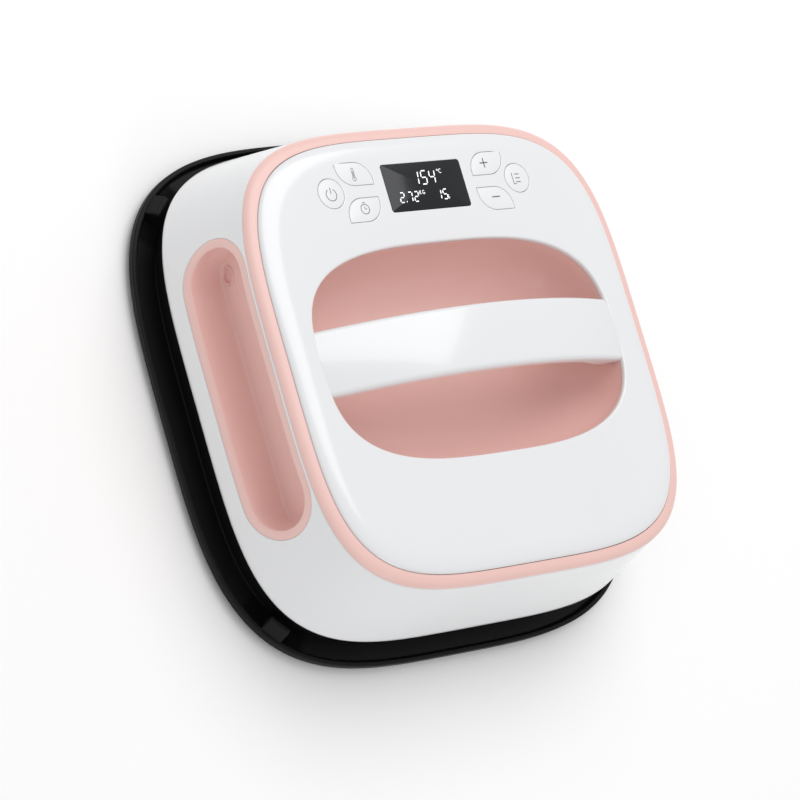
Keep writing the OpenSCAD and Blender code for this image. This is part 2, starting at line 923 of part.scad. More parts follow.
module timer_plunger() {
  plunger(to_left(lower_key_at));
}

module minus_plunger() {
  plunger(lower_key_at);
}

module tact_switches() {
  half = 3.1;
  color([0.15, 0.15, 0.16])
    for (at = [round_key_at, upper_key_at, lower_key_at])
      for (side = [-1, 1])
        translate([side * at[0], at[1], panel_board_top])
          difference() {
            translate([-half, -half, 0])
              cube([2 * half, 2 * half, switch_h]);
            translate([0, 0, switch_h - 1.6 - key_travel - 0.3])
              cylinder(h = 6, r = plunger_r + 0.2);
          }
}

module control_board() {
  color([0.1, 0.35, 0.2])
    translate([0, panel_board_y, panel_board_top - board_t])
      difference() {
        translate([-panel_board_size[0] / 2, -panel_board_size[1] / 2, 0])
          cube([panel_board_size[0], panel_board_size[1], board_t]);
        for (x = [-1, 1])
          for (y = [-1, 1])
            translate([x * panel_post_at[0], window_y - panel_board_y + y * panel_post_at[1], -eps])
              cylinder(h = 5, r = 1.3);
      }
}

module board_screws() {
  color("silver")
    for (x = [-1, 1])
      for (y = [-1, 1])
        translate([x * panel_post_at[0], window_y + y * panel_post_at[1], panel_board_top - board_t])
          screw(7, 1.1);
}

module buzzer() {
  color([0.08, 0.08, 0.08])
    translate([0, panel_board_y, panel_board_top - board_t - 8])
      difference() {
        cylinder(h = 8, r = 6);
        translate([0, 0, -eps])
          cylinder(h = 1.5, r = 1);
      }
}

// ---- heating ----

function skirt_outer() = plate_half + skirt_gap + 0.5;

module base_skirt() {
  seat = wide_at - base_r - skirt_seat_gap;
  low = plate_half + skirt_gap;
  tongue = skirt_outer() - 0.1;
  color([0.05, 0.05, 0.055])
    loft_ring([
      [low, low, body_square, skirt_z],
      [low + skirt_t, low + skirt_t, body_square, skirt_z],
      [low + skirt_t, low + skirt_t, body_square, seat],
      [tongue, tongue, body_square, seat],
      [tongue, tongue, body_square, seat + skirt_tongue],
      [tongue - skirt_t, tongue - skirt_t, body_square, seat + skirt_tongue],
      [tongue - skirt_t, tongue - skirt_t, body_square, plate_top + 1],
      [low, low, body_square, plate_top + 1]
    ]);
}

// Tube of the heating element: straight runs joined by half turns, grown by a margin
module element_tube(grow) {
  r = element_d / 2 + grow;
  turn_r = element_pitch / 2;
  for (i = [0 : 5]) {
    start = i == 0 || i == 5 ? element_end_x : -run;
    translate([start, (i - 2.5) * element_pitch, plate_top])
      rotate([0, 90, 0])
        cylinder(h = run - start, r = r);
  }
  for (i = [0 : 4])
    translate([i % 2 == 0 ? run : -run, (i - 2) * element_pitch, plate_top])
      rotate([0, 0, i % 2 == 0 ? -90 : 90])
        rotate_extrude(angle = 180)
          translate([turn_r, 0])
            circle(r = r);
}

function element_end(i) = [element_end_x, (i == 0 ? -2.5 : 2.5) * element_pitch, plate_top];

module heat_plate() {
  color([0.22, 0.22, 0.23])
    difference() {
      slab(plate_half, body_square, plate_z, plate_t);
      element_tube(groove_gap);
      at_corners(standoff_at)
        translate([0, 0, plate_top - 6])
          cylinder(h = 7, r = screw_r);
      translate([element_end(0)[0] - 9, element_end(0)[1] - 5, plate_top - element_d / 2 - 0.6])
        cube([9, 10, 20]);
      translate([element_end(1)[0] - 9, element_end(1)[1] - 5, plate_top - element_d / 2 - 0.6])
        cube([9, 10, 20]);
    }
}

module heating_element() {
  color([0.55, 0.56, 0.58])
    element_tube(0);
}

module heater_terminals() {
  color([0.92, 0.9, 0.85])
    for (i = [0, 1])
      translate(element_end(i)) {
        rotate([0, -90, 0])
          cylinder(h = terminal_l, r = element_d / 2);
        translate([2 - terminal_l, 0, 0])
          cylinder(h = terminal_pin_h, r = 1.1);
      }
}

module insulation_blanket() {
  color([0.93, 0.92, 0.88])
    difference() {
      slab(plate_half - blanket_inset, body_square, blanket_z, blanket_t);
      at_corners(standoff_at)
        translate([0, 0, blanket_z - 1])
          cylinder(h = blanket_t + 2, r = standoff_r + 1);
      for (i = [0, 1])
        translate([element_end(i)[0] - 8, element_end(i)[1] - 5, blanket_z - 1])
          cube([8, 10, blanket_t + 2]);
      sensor_holes();
    }
}

module sensor_holes() {
  for (x = [-1, 1])
    translate([x * element_pitch / 2, 0, blanket_z - 1])
      cylinder(h = 20, r = sensor_hole_r);
}

module heat_shield() {
  color([0.75, 0.76, 0.78])
    difference() {
      slab(plate_half - blanket_inset + 2, body_square, shield_z, shield_t);
      at_corners(standoff_at)
        translate([0, 0, shield_z - 1])
          cylinder(h = shield_t + 2, r = standoff_r + 1);
      for (i = [0, 1])
        translate([element_end(i)[0] - 8, element_end(i)[1] - 5, shield_z - 1])
          cube([8, 10, shield_t + 2]);
      sensor_holes();
    }
}

module plate_standoffs() {
  color([0.8, 0.8, 0.82])
    at_corners(standoff_at)
      translate([0, 0, plate_top])
        difference() {
          cylinder(h = standoff_h, r = standoff_r);
          translate([0, 0, -eps])
            cylinder(h = standoff_h + 1, r = screw_r + 0.2);
        }
}

module plate_screws() {
  color("silver")
    at_corners(standoff_at)
      translate([0, 0, cell_z + 2])
        rotate([180, 0, 0])
          screw(standoff_h + 2 + 5, screw_r);
}

module thermistor() {
  color([0.8, 0.55, 0.2])
    translate([element_pitch / 2, 0, plate_top]) {
      cylinder(h = 2, r = 6);
      translate([0, 0, 2])
        cylinder(h = 5, r = 2.2);
    }
}

module thermal_fuse() {
  color([0.85, 0.85, 0.85])
    translate([-element_pitch / 2, 0, plate_top]) {
      translate([-5, -7, 0])
        cube([10, 14, 1.2]);
      translate([0, 6, 3.2])
        rotate([90, 0, 0])
          cylinder(h = 12, r = 2);
    }
}

// ---- chassis and electronics ----

module load_cell(x, y) {
  half = cell_half;
  color([0.7, 0.71, 0.73])
    translate([x * standoff_at, y * standoff_at, cell_z])
      difference() {
        union() {
          translate([-half, -half, 2])
            cube([2 * half, 2 * half, cell_t - 2]);
          translate([-half / 2, -half / 2, 0])
            cube([half, half, cell_t]);
        }
        translate([0, 0, -eps])
          cylinder(h = 2 + 2 * eps, r = screw_r + 0.2);
        translate([0, 0, 2])
          cylinder(h = 10, r = 2 * screw_r + 0.3);
        translate([-half + 4, -half + 4, 3.6])
          cube([2 * half - 8, 2, 5]);
        translate([-half + 4, half - 6, 3.6])
          cube([2 * half - 8, 2, 5]);
      }
}

module load_cell_front_left() {
  load_cell(-1, -1);
}

module load_cell_front_right() {
  load_cell(1, -1);
}

module load_cell_rear_left() {
  load_cell(-1, 1);
}

module load_cell_rear_right() {
  load_cell(1, 1);
}

module chassis_plate() {
  color([0.6, 0.61, 0.63])
    difference() {
      union() {
        slab(chassis_half, body_square, chassis_z, chassis_t);
        for (x = [-1, 1])
          for (y = [-1, 1])
            translate([
              x * (power_board_size[0] / 2 - 5),
              power_board_y + y * (power_board_size[1] / 2 - 5),
              chassis_top
            ])
              cylinder(h = 5, r = 3);
      }
      at_corners(post_at)
        translate([0, 0, chassis_z - 1])
          cylinder(h = 10, r = screw_r + 0.2);
      at_corners(standoff_at)
        translate([0, 0, chassis_z - 1])
          cylinder(h = 10, r = 2 * screw_r + 1);
      for (i = [0, 1])
        translate([element_end(i)[0] - 4, element_end(i)[1], chassis_z - 1])
          cylinder(h = 10, r = 4);
    }
}

module power_board() {
  color([0.1, 0.32, 0.2])
    translate([-power_board_size[0] / 2, power_board_y - power_board_size[1] / 2, power_board_z])
      cube([power_board_size[0], power_board_size[1], board_t]);
}

module power_relay() {
  color([0.15, 0.3, 0.6])
    translate([-36, power_board_y - 12, power_top])
      cube([19, 15.5, 15]);
}

module triac_heatsink() {
  color([0.7, 0.71, 0.73])
    translate([-10, power_board_y - 16, power_top])
      difference() {
        cube([24, 12, 24]);
        for (i = [0 : 3])
          translate([3 + i * 5, -eps, 4])
            cube([3, 8, 30]);
      }
}

module transformer() {
  color([0.85, 0.75, 0.2])
    translate([22, power_board_y - 13, power_top]) {
      cube([28, 24, 4]);
      translate([2, 2, 4])
        cube([24, 20, 18]);
    }
}

module filter_capacitors() {
  color([0.12, 0.12, 0.3])
    for (i = [0 : 2])
      translate([-12 + i * 11, power_board_y + 12, power_top])
        difference() {
          cylinder(h = 16, r = 5);
          translate([-4, -0.3, 15.5])
            cube([8, 0.6, 2]);
        }
}

function block_face_y() = power_board_y + 19;

module terminal_block() {
  color([0.2, 0.5, 0.3])
    translate([block_x, block_face_y() - 11, power_top])
      difference() {
        cube([30, 11, 11]);
        for (i = [0 : 3])
          translate([5 + i * 7, 5.5, 6])
            cylinder(h = 8, r = 2);
      }
}

// Flat cable from the control board, behind the recess and under it, to the power board
module ribbon_cable() {
  back_y = bowl_half_y + wall + 4;
  low = chassis_top + 1.5;
  front_y = power_board_y + power_board_size[1] / 2 + 3;
  t = 0.9;
  end_y = panel_board_y - panel_board_size[1] / 2 + 4.35;
  color([0.75, 0.75, 0.78])
    translate([38, 0, 0])
      rotate([90, 0, 90])
        linear_extrude(16)
          polygon([
            [end_y, panel_board_top - board_t - 2], [back_y, panel_board_top - board_t - 6],
            [back_y, low + 3], [back_y - 3, low], [front_y + 3, low], [front_y, low + 3],
            [front_y, power_top + 2], [front_y - 6, power_top + 2], [front_y - 6, power_top + 2 + t],
            [front_y + t, power_top + 2 + t], [front_y + t, low + 3 + t], [front_y + 3, low + t],
            [back_y - 3 - t, low + t], [back_y - t, low + 3 + t],
            [back_y - t, panel_board_top - board_t - 6 + t], [end_y - t, panel_board_top - board_t - 2 + t]
          ]);
}

module heater_leads() {
  face = block_face_y();
  color([0.7, 0.15, 0.12])
    for (i = [0, 1]) {
      end = element_end(i) + [-4, 0, 8];
      run_z = chassis_top + 1.5;
      x = block_x + 5 + 7 * i;
      lead([
        end, [end[0], end[1], run_z - 2], [end[0] + 0.5, end[1] + (i == 0 ? 1.5 : -1.5), run_z],
        [x, face + (i == 0 ? 4 : 12), run_z], [x, face + 7, run_z], [x, face + 8.5, run_z + 2],
        [x, face + 8.5, power_top + 4], [x, face + 6, power_top + 6], [x, face, power_top + 6]
      ], 1.1);
    }
}

module mains_leads() {
  face = block_face_y();
  start_y = gland_face_y - gland_thread;
  color([0.35, 0.22, 0.12])
    for (i = [0, 1]) {
      x = i * 4 - 2;
      block = block_x + 19 + 7 * i;
      lead([
        [x, start_y, gland_z], [x, start_y - 5, gland_z], [x, start_y - 9, gland_z - 3],
        [x, start_y - 12, chassis_top + 4], [x, start_y - 15, chassis_top + 2], [x - 2, 60, chassis_top + 2],
        [block, face + 30, chassis_top + 2], [block, face + 9, chassis_top + 2],
        [block, face + 7, chassis_top + 4],
        [block, face + 7, power_top + 4], [block, face + 5, power_top + 6], [block, face, power_top + 6]
      ], 1.3);
    }
}

module cord_gland() {
  color([0.08, 0.08, 0.09])
    translate([0, gland_face_y, gland_z])
      rotate([-90, 0, 0])
        difference() {
          union() {
            translate([0, 0, -gland_thread])
              cylinder(h = gland_thread + eps, r = gland_r - 2.2);
            cylinder(h = gland_flange_t, r = gland_r);
            translate([0, 0, gland_flange_t])
              cylinder(h = gland_out - gland_flange_t, r1 = gland_r - 2, r2 = cord_r + 1.6);
          }
          translate([0, 0, -20])
            cylinder(h = 40, r = cord_r);
        }
}

module gland_nut() {
  color([0.12, 0.12, 0.13])
    translate([0, gland_face_y - gland_seat - gland_nut_t, gland_z])
      rotate([-90, 0, 0])
        difference() {
          cylinder(h = gland_nut_t, r = gland_r + 1.5, $fn = 6);
          translate([0, 0, -eps])
            cylinder(h = 5, r = gland_r - 2.2);
        }
}

module housing_screws() {
  color("silver")
    at_corners(post_at)
      translate([0, 0, chassis_z])
        screw(top_z + 3.8 - chassis_z);
}

module cover_screws() {
  color("silver")
    for (x = [-1, 1])
      for (y = [-1, 1])
        translate([x * side_screw_at[0], y * side_screw_at[1], top_z - flange_t])
          screw(flange_t + 3.8);
}

stand_tray();
stand_pad();
stand_feet();
housing_shell();
trim_ring();
top_cover();
hand_recess();
handle_upper();
handle_lower();
handle_screws();
side_grip_left();
side_grip_right();
grip_screw_caps();
display_window();
display_module();
power_key();
temperature_key();
timer_key();
plus_key();
minus_key();
mode_key();
power_plunger();
temperature_plunger();
timer_plunger();
plus_plunger();
minus_plunger();
mode_plunger();
control_board();
tact_switches();
board_screws();
buzzer();
base_skirt();
heat_plate();
heating_element();
heater_terminals();
insulation_blanket();
heat_shield();
plate_standoffs();
plate_screws();
thermistor();
thermal_fuse();
load_cell_front_left();
load_cell_front_right();
load_cell_rear_left();
load_cell_rear_right();
chassis_plate();
power_board();
power_relay();
triac_heatsink();
transformer();
filter_capacitors();
terminal_block();
ribbon_cable();
heater_leads();
mains_leads();
cord_gland();
gland_nut();
housing_screws();
cover_screws();
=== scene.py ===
import math
import bpy
import bmesh
import numpy as np
from mathutils import Matrix
from mathutils.geometry import delaunay_2d_cdt


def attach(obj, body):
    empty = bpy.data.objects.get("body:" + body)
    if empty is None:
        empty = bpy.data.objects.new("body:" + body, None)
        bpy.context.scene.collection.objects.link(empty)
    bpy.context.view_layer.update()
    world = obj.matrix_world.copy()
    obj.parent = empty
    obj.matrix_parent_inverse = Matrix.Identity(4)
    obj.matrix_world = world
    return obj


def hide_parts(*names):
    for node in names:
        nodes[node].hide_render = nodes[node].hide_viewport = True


# Square heat press on its stand. Shapes are worked out in millimetres and put in as metres.
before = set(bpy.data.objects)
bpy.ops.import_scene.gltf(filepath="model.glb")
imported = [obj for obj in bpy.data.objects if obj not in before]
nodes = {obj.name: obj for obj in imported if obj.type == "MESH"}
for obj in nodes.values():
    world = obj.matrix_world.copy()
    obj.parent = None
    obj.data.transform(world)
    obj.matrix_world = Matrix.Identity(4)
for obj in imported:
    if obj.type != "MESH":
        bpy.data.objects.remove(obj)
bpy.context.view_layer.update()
print("loaded the packed frame,", len(nodes), "nodes")


def circleOf(count, start=0.0, stop=2 * np.pi):
    # count directions, evenly turned from start up to but not including stop
    return start + (stop - start) * np.arange(count) / count


rim = circleOf(288)


def loft(rows, angles=rim):
    # each row is [half x, half y, squareness n, height]
    # a point lies in each direction where |x/a|^n + |y/b|^n = 1
    rows = np.array(rows, float)[:, None, :]
    c, s = np.cos(angles)[None], np.sin(angles)[None]
    reach = (np.abs(c) ** rows[..., 2] + np.abs(s) ** rows[..., 2]) ** (-1 / rows[..., 2])
    return np.stack([rows[..., 0] * reach * c, rows[..., 1] * reach * s,
                     np.broadcast_to(rows[..., 3], reach.shape)], axis=-1)


def sheet(points, ringRows=False, ringColumns=True, flip=False):
    # grid of points (row, column, xyz) joined by four-sided faces, closed either way if asked
    rowCount, columnCount = points.shape[:2]
    r, c = np.meshgrid(np.arange(rowCount - (not ringRows)), np.arange(columnCount - (not ringColumns)),
                       indexing="ij")
    nextR, nextC = (r + 1) % rowCount, (c + 1) % columnCount
    faces = np.stack([r * columnCount + c, r * columnCount + nextC,
                      nextR * columnCount + nextC, nextR * columnCount + c], axis=-1).reshape(-1, 4)
    return points.reshape(-1, 3), faces[:, ::-1] if flip else faces


def fan(ring, flip=False):
    # closes a ring with triangles to its middle
    count = len(ring)
    k = np.arange(count)
    faces = np.stack([k, (k + 1) % count, np.full(count, count)], axis=-1)
    return np.vstack([ring, ring.mean(axis=0)]), faces[:, ::-1] if flip else faces


def inside(points, loop):
    # a point is inside where a ray from it along X crosses the loop an odd number of times
    a, b = loop[:, :2], np.roll(loop[:, :2], -1, axis=0)
    x, y = points[:, :1], points[:, 1:]
    spans = (a[:, 1] > y) != (b[:, 1] > y)
    rise = np.where(b[:, 1] == a[:, 1], 1e-9, b[:, 1] - a[:, 1])
    return np.sum(spans & (x < a[:, 0] + (b[:, 0] - a[:, 0]) * (y - a[:, 1]) / rise), axis=1) % 2 == 1


def flat(loops, place=lambda p: p, flip=False):
    # flat sheet inside the first loop and outside the others; place turns flat points into space
    points = np.vstack([loop[:, :2] for loop in loops])
    edges, start = [], 0
    for loop in loops:
        k = np.arange(len(loop))
        edges += [tuple(e) for e in (np.stack([k, (k + 1) % len(loop)], axis=-1) + start).tolist()]
        start += len(loop)
    found = delaunay_2d_cdt([tuple(p) for p in points.tolist()], edges, [], 0, 1e-7)
    verts, faces = np.array([tuple(v) for v in found[0]]), np.array(found[2])
    middles = verts[faces].mean(axis=1)
    kept = inside(middles, loops[0])
    for loop in loops[1:]:
        kept &= ~inside(middles, loop)
    faces = faces[kept]
    return place(verts), faces[:, ::-1] if flip else faces


def atHeight(z):
    return lambda p: np.column_stack([p, np.full(len(p), z)])


def revolve(profile, count=64):
    # [radius, height] pairs turned round the Z axis
    profile = np.array(profile, float)
    turn = circleOf(count)
    return np.stack([profile[:, :1] * np.cos(turn), profile[:, :1] * np.sin(turn),
                     np.repeat(profile[:, 1:], count, axis=1)], axis=-1)


def rounding(steps=6, start=0.0, stop=90.0):
    # sine and cosine of evenly spaced angles through a quarter turn
    t = np.radians(np.linspace(start, stop, steps))
    return np.sin(t), np.cos(t)


def mirrored(part):
    return part[0] * [-1, 1, 1], part[1][:, ::-1]


def moved(part, x=0.0, y=0.0, z=0.0):
    return part[0] + [x, y, z], part[1]


def addPiece(name, parts, body, finish, replaced=(), crease=35, closed=True, modifiers=()):
    # joins the parts, merges their shared points, turns the faces outwards and puts the piece on its body
    verts = np.vstack([p[0] for p in parts]) * 0.001
    starts = np.cumsum([0] + [len(p[0]) for p in parts[:-1]])
    faces = [face for part, start in zip(parts, starts) for face in (part[1] + start).tolist()]
    if not np.isfinite(verts).all():
        raise ValueError(name + " has a point that is not a number")
    mesh = bpy.data.meshes.new(name)
    mesh.from_pydata(verts.tolist(), [], faces)
    made = bmesh.new()
    made.from_mesh(mesh)
    bmesh.ops.remove_doubles(made, verts=made.verts, dist=1e-6)
    bmesh.ops.dissolve_degenerate(made, edges=made.edges, dist=1e-7)
    if closed:
        bmesh.ops.recalc_face_normals(made, faces=made.faces)
    made.to_mesh(mesh)
    made.free()
    mesh.shade_smooth()
    mesh.set_sharp_from_angle(angle=math.radians(crease))
    piece = bpy.data.objects.new(name, mesh)
    bpy.context.scene.collection.objects.link(piece)
    mesh.materials.append(finish)
    for kind, settings in modifiers:
        modifier = piece.modifiers.new(kind.title(), kind)
        for key, value in settings.items():
            setattr(modifier, key, value)
    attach(piece, body)
    if replaced:
        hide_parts(*replaced)
    return piece


class Wire:
    # an output socket of a shader tree whose operators add Math nodes
    def __init__(self, tree, socket=None):
        self.tree, self.socket = tree, socket

    def make(self, kind, settings=None, inputs=None, out=0):
        # any node: its settings first, a ramp's stops among them, then the values or links of its sockets
        node = self.tree.nodes.new(kind)
        for key, value in (settings or {}).items():
            if key == "stops":
                while len(node.color_ramp.elements) < len(value):
                    node.color_ramp.elements.new(1)
                for element, (position, colour) in zip(node.color_ramp.elements, value):
                    element.position, element.color = position, colour
            else:
                setattr(node, key, value)
        for key, value in (inputs or {}).items():
            if isinstance(value, Wire):
                self.tree.links.new(value.socket, node.inputs[key])
            else:
                node.inputs[key].default_value = value
        return Wire(self.tree, node.outputs[out])

    def math(self, operation, first, second=0.0, clamp=False):
        return self.make("ShaderNodeMath", {"operation": operation, "use_clamp": clamp},
                         {0: first, 1: second})

    def __add__(self, other): return self.math("ADD", self, other)
    def __radd__(self, other): return self.math("ADD", other, self)
    def __sub__(self, other): return self.math("SUBTRACT", self, other)
    def __rsub__(self, other): return self.math("SUBTRACT", other, self)
    def __mul__(self, other): return self.math("MULTIPLY", self, other)
    def __rmul__(self, other): return self.math("MULTIPLY", other, self)
    def clamped(self): return self.math("ADD", self, 0.0, True)

    def blend(self, dark, light):
        # colour between dark and light by this value
        return self.make("ShaderNodeMix", {"data_type": "RGBA"}, {0: self, 6: dark, 7: light}, out=2)


def tone(colour, factor):
    return tuple(min(1.0, c * factor) for c in colour[:3]) + (1.0,)


# base colour, roughness and how much they change
# soft and fine are in waves per metre, and stretch squeezes the grain per axis
finishes = {
    "whiteGloss": dict(colour=(0.815, 0.82, 0.832), change=0.012, soft=18, rough=0.2, roughChange=0.03,
                       grain=0.012, fine=1400, coat=0.35, coatRough=0.06),
    "pinkSatin": dict(colour=(0.86, 0.565, 0.52), change=0.02, soft=22, rough=0.36, roughChange=0.05,
                      grain=0.03, fine=2200, coat=0.08, coatRough=0.2),
    "keyWhite": dict(colour=(0.82, 0.825, 0.835), change=0.012, soft=60, rough=0.3, roughChange=0.04,
                     grain=0.015, fine=3000),
    "standPlastic": dict(colour=(0.0045, 0.0045, 0.005), spec=0.18, change=0.12, soft=30, rough=0.5,
                         roughChange=0.08, grain=0.12, fine=1900),
    "skirtPlastic": dict(colour=(0.004, 0.004, 0.0045), spec=0.15, change=0.1, soft=30, rough=0.5,
                         roughChange=0.06, grain=0.08, fine=1700),
    "padSilicone": dict(colour=(0.03, 0.03, 0.032), change=0.2, soft=60, rough=0.72, roughChange=0.1,
                        grain=0.3, fine=900),
    "footRubber": dict(colour=(0.02, 0.02, 0.02), change=0.2, soft=90, rough=0.8, roughChange=0.1, grain=0.2,
                       fine=1500),
    "glassDark": dict(colour=(0.009, 0.01, 0.013), spec=0.3, change=0.25, soft=35, rough=0.16,
                      roughChange=0.03, grain=0.0, fine=500, coat=0.12, coatRough=0.05),
    "digitWhite": dict(colour=(0.9, 0.92, 0.95), change=0.02, soft=300, rough=0.5, roughChange=0.02,
                       grain=0.0, fine=900, glow=0.55),
    "legendGrey": dict(colour=(0.16, 0.165, 0.17), change=0.08, soft=400, rough=0.5, roughChange=0.05,
                       grain=0.02, fine=3000),
    "plateCoating": dict(colour=(0.045, 0.045, 0.048), change=0.25, soft=25, rough=0.38, roughChange=0.12,
                         grain=0.1, fine=1300, metallic=0.6),
    "elementSteel": dict(colour=(0.33, 0.31, 0.3), change=0.2, soft=70, rough=0.42, roughChange=0.14,
                         grain=0.08, fine=900, metallic=1.0, stretch=(1, 1, 6)),
    "ceramicWhite": dict(colour=(0.78, 0.75, 0.68), change=0.06, soft=200, rough=0.5, roughChange=0.1,
                         grain=0.1, fine=2500),
    "blanketFibre": dict(colour=(0.8, 0.77, 0.68), change=0.12, soft=90, rough=0.95, roughChange=0.04,
                         grain=0.6, fine=700, stretch=(1, 0.2, 1)),
    "sheetSteel": dict(colour=(0.56, 0.57, 0.58), change=0.1, soft=40, rough=0.34, roughChange=0.1,
                       grain=0.06, fine=1200, metallic=1.0, stretch=(1, 0.04, 1)),
    "screwSteel": dict(colour=(0.6, 0.6, 0.62), change=0.1, soft=300, rough=0.28, roughChange=0.1, grain=0.06,
                       fine=3000, metallic=1.0),
    "boardGreen": dict(colour=(0.012, 0.1, 0.04), change=0.5, soft=260, rough=0.35, roughChange=0.1,
                       grain=0.15, fine=700, coat=0.3, coatRough=0.1, stretch=(1, 0.15, 1)),
    "partBlack": dict(colour=(0.018, 0.018, 0.02), change=0.15, soft=150, rough=0.45, roughChange=0.1,
                      grain=0.1, fine=2500),
    "relayBlue": dict(colour=(0.02, 0.07, 0.3), change=0.08, soft=150, rough=0.35, roughChange=0.06,
                      grain=0.04, fine=2500),
    "windingYellow": dict(colour=(0.7, 0.5, 0.05), change=0.15, soft=60, rough=0.4, roughChange=0.1,
                          grain=0.3, fine=500, stretch=(0.1, 0.1, 3)),
    "heatsinkAlu": dict(colour=(0.62, 0.63, 0.65), change=0.08, soft=90, rough=0.3, roughChange=0.1,
                        grain=0.08, fine=1500, metallic=1.0, stretch=(1, 1, 0.05)),
    "capacitorSleeve": dict(colour=(0.015, 0.02, 0.1), change=0.1, soft=150, rough=0.3, roughChange=0.05,
                            grain=0.03, fine=2500),
    "terminalGreen": dict(colour=(0.02, 0.22, 0.06), change=0.1, soft=150, rough=0.4, roughChange=0.06,
                          grain=0.05, fine=2500),
    "ribbonGrey": dict(colour=(0.5, 0.5, 0.52), change=0.35, soft=800, rough=0.5, roughChange=0.05, grain=0.2,
                       fine=900, stretch=(1, 0.01, 0.01)),
    "leadRed": dict(colour=(0.45, 0.02, 0.015), change=0.1, soft=100, rough=0.4, roughChange=0.05, grain=0.05,
                    fine=2000),
    "leadBrown": dict(colour=(0.1, 0.04, 0.015), change=0.1, soft=100, rough=0.4, roughChange=0.05,
                      grain=0.05, fine=2000),
    "sensorAmber": dict(colour=(0.5, 0.2, 0.03), change=0.1, soft=200, rough=0.25, roughChange=0.05,
                        grain=0.02, fine=2500, coat=0.5, coatRough=0.05),
    "floorPaper": dict(colour=(0.985, 0.985, 0.985), change=0.004, soft=3, rough=0.75, roughChange=0.05,
                       grain=0.02, fine=300),
}
made = {}


def finish(name):
    # moulded or metal finish: broad tone drift in the colour, fine grain in the roughness and the bump
    if name in made:
        return made[name]
    f = dict(dict(metallic=0.0, spec=0.5, coat=0.0, coatRough=0.1, glow=0.0, stretch=(1, 1, 1)),
             **finishes[name])
    material = bpy.data.materials.new(name)
    material.use_nodes = True
    tree = material.node_tree
    shader = tree.nodes["Principled BSDF"]
    wire = Wire(tree)
    place = wire.make("ShaderNodeTexCoord", out="Object")
    along = wire.make("ShaderNodeMapping", {}, {"Vector": place, "Scale": f["stretch"]})
    broad = wire.make("ShaderNodeTexNoise", {}, {"Vector": along, "Scale": f["soft"], "Detail": 3.0})
    fine = wire.make("ShaderNodeTexNoise", {}, {"Vector": along, "Scale": f["fine"], "Detail": 2.0})
    colour = broad.blend(tone(f["colour"], 1 - f["change"]), tone(f["colour"], 1 + f["change"]))
    tree.links.new(colour.socket, shader.inputs["Base Color"])
    roughness = f["rough"] + (fine - 0.5) * (2 * f["roughChange"])
    tree.links.new(roughness.socket, shader.inputs["Roughness"])
    if f["grain"]:
        bump = wire.make("ShaderNodeBump", {}, {"Strength": f["grain"], "Distance": 0.0002, "Height": fine})
        tree.links.new(bump.socket, shader.inputs["Normal"])
    shader.inputs["Metallic"].default_value = f["metallic"]
    shader.inputs["Specular IOR Level"].default_value = f["spec"]
    shader.inputs["Coat Weight"].default_value = f["coat"]
    shader.inputs["Coat Roughness"].default_value = f["coatRough"]
    if f["glow"]:
        tree.links.new(colour.socket, shader.inputs["Emission Color"])
        shader.inputs["Emission Strength"].default_value = f["glow"]
    made[name] = material
    return material


camera = bpy.data.objects.new("camera", bpy.data.cameras.new("camera"))
bpy.context.scene.collection.objects.link(camera)
camera.data.lens = 161.8
camera.data.sensor_width = 36
camera.data.clip_end = 20
camera.matrix_world = Matrix(((0.77428, 0.10387, -0.62426, -1.1994), (-0.27586, 0.94318, -0.18522, -0.3625),
                              (0.56955, 0.31562, 0.75895, 1.4759), (0, 0, 0, 1)))
bpy.context.scene.camera = camera

studio = dict(sky=0.64, floorHalf=6.0, keyPower=18.0, keySize=1.5, frontPower=4.5)

world = bpy.data.worlds.new("studio")
bpy.context.scene.world = world
world.use_nodes = True
world.node_tree.nodes["Background"].inputs["Color"].default_value = (1, 1, 1, 1)
world.node_tree.nodes["Background"].inputs["Strength"].default_value = studio["sky"]
bpy.context.scene.view_settings.view_transform = "Standard"


def addLight(name, place, target, power, size, sizeY=None):
    # rectangular soft light aimed from place at target
    data = bpy.data.lights.new(name, "AREA")
    data.shape = "RECTANGLE"
    data.size, data.size_y, data.energy = size, sizeY or size, power
    light = bpy.data.objects.new(name, data)
    bpy.context.scene.collection.objects.link(light)
    back = np.array(place, float) - np.array(target, float)
    back /= np.linalg.norm(back)
    side = np.cross([0, 0, 1] if abs(back[2]) < 0.99 else [0, 1, 0], back)
    side /= np.linalg.norm(side)
    up = np.cross(back, side)
    light.matrix_world = Matrix([[side[i], up[i], back[i], place[i]] for i in range(3)] + [[0, 0, 0, 1]])


addLight("keyPanel", (0.35, 0.9, 1.7), (0, 0, 0.05), studio["keyPower"], studio["keySize"])
addLight("frontPanel", (-0.3, -1.8, 0.8), (0, 0, 0.05), studio["frontPower"], 0.9)

floorMesh = bpy.data.meshes.new("floor")
side = studio["floorHalf"]
floorMesh.from_pydata([(-side, -side, 0), (side, -side, 0), (side, side, 0), (-side, side, 0)], [],
                      [(0, 1, 2, 3)])
floor = bpy.data.objects.new("floor", floorMesh)
bpy.context.scene.collection.objects.link(floor)
floorMesh.materials.append(finish("floorPaper"))
print("camera, floor and lights are set")


stand = dict(half=145.0, square=3.6, low=3.0, floor=5.5, top=8.5, edge=1.0, rimWidth=2.4, guideWidth=13.0,
             guideIn=159.9, guideOut=167.4, guideTop=14.4, footAt=104.0, footRadius=12.0)

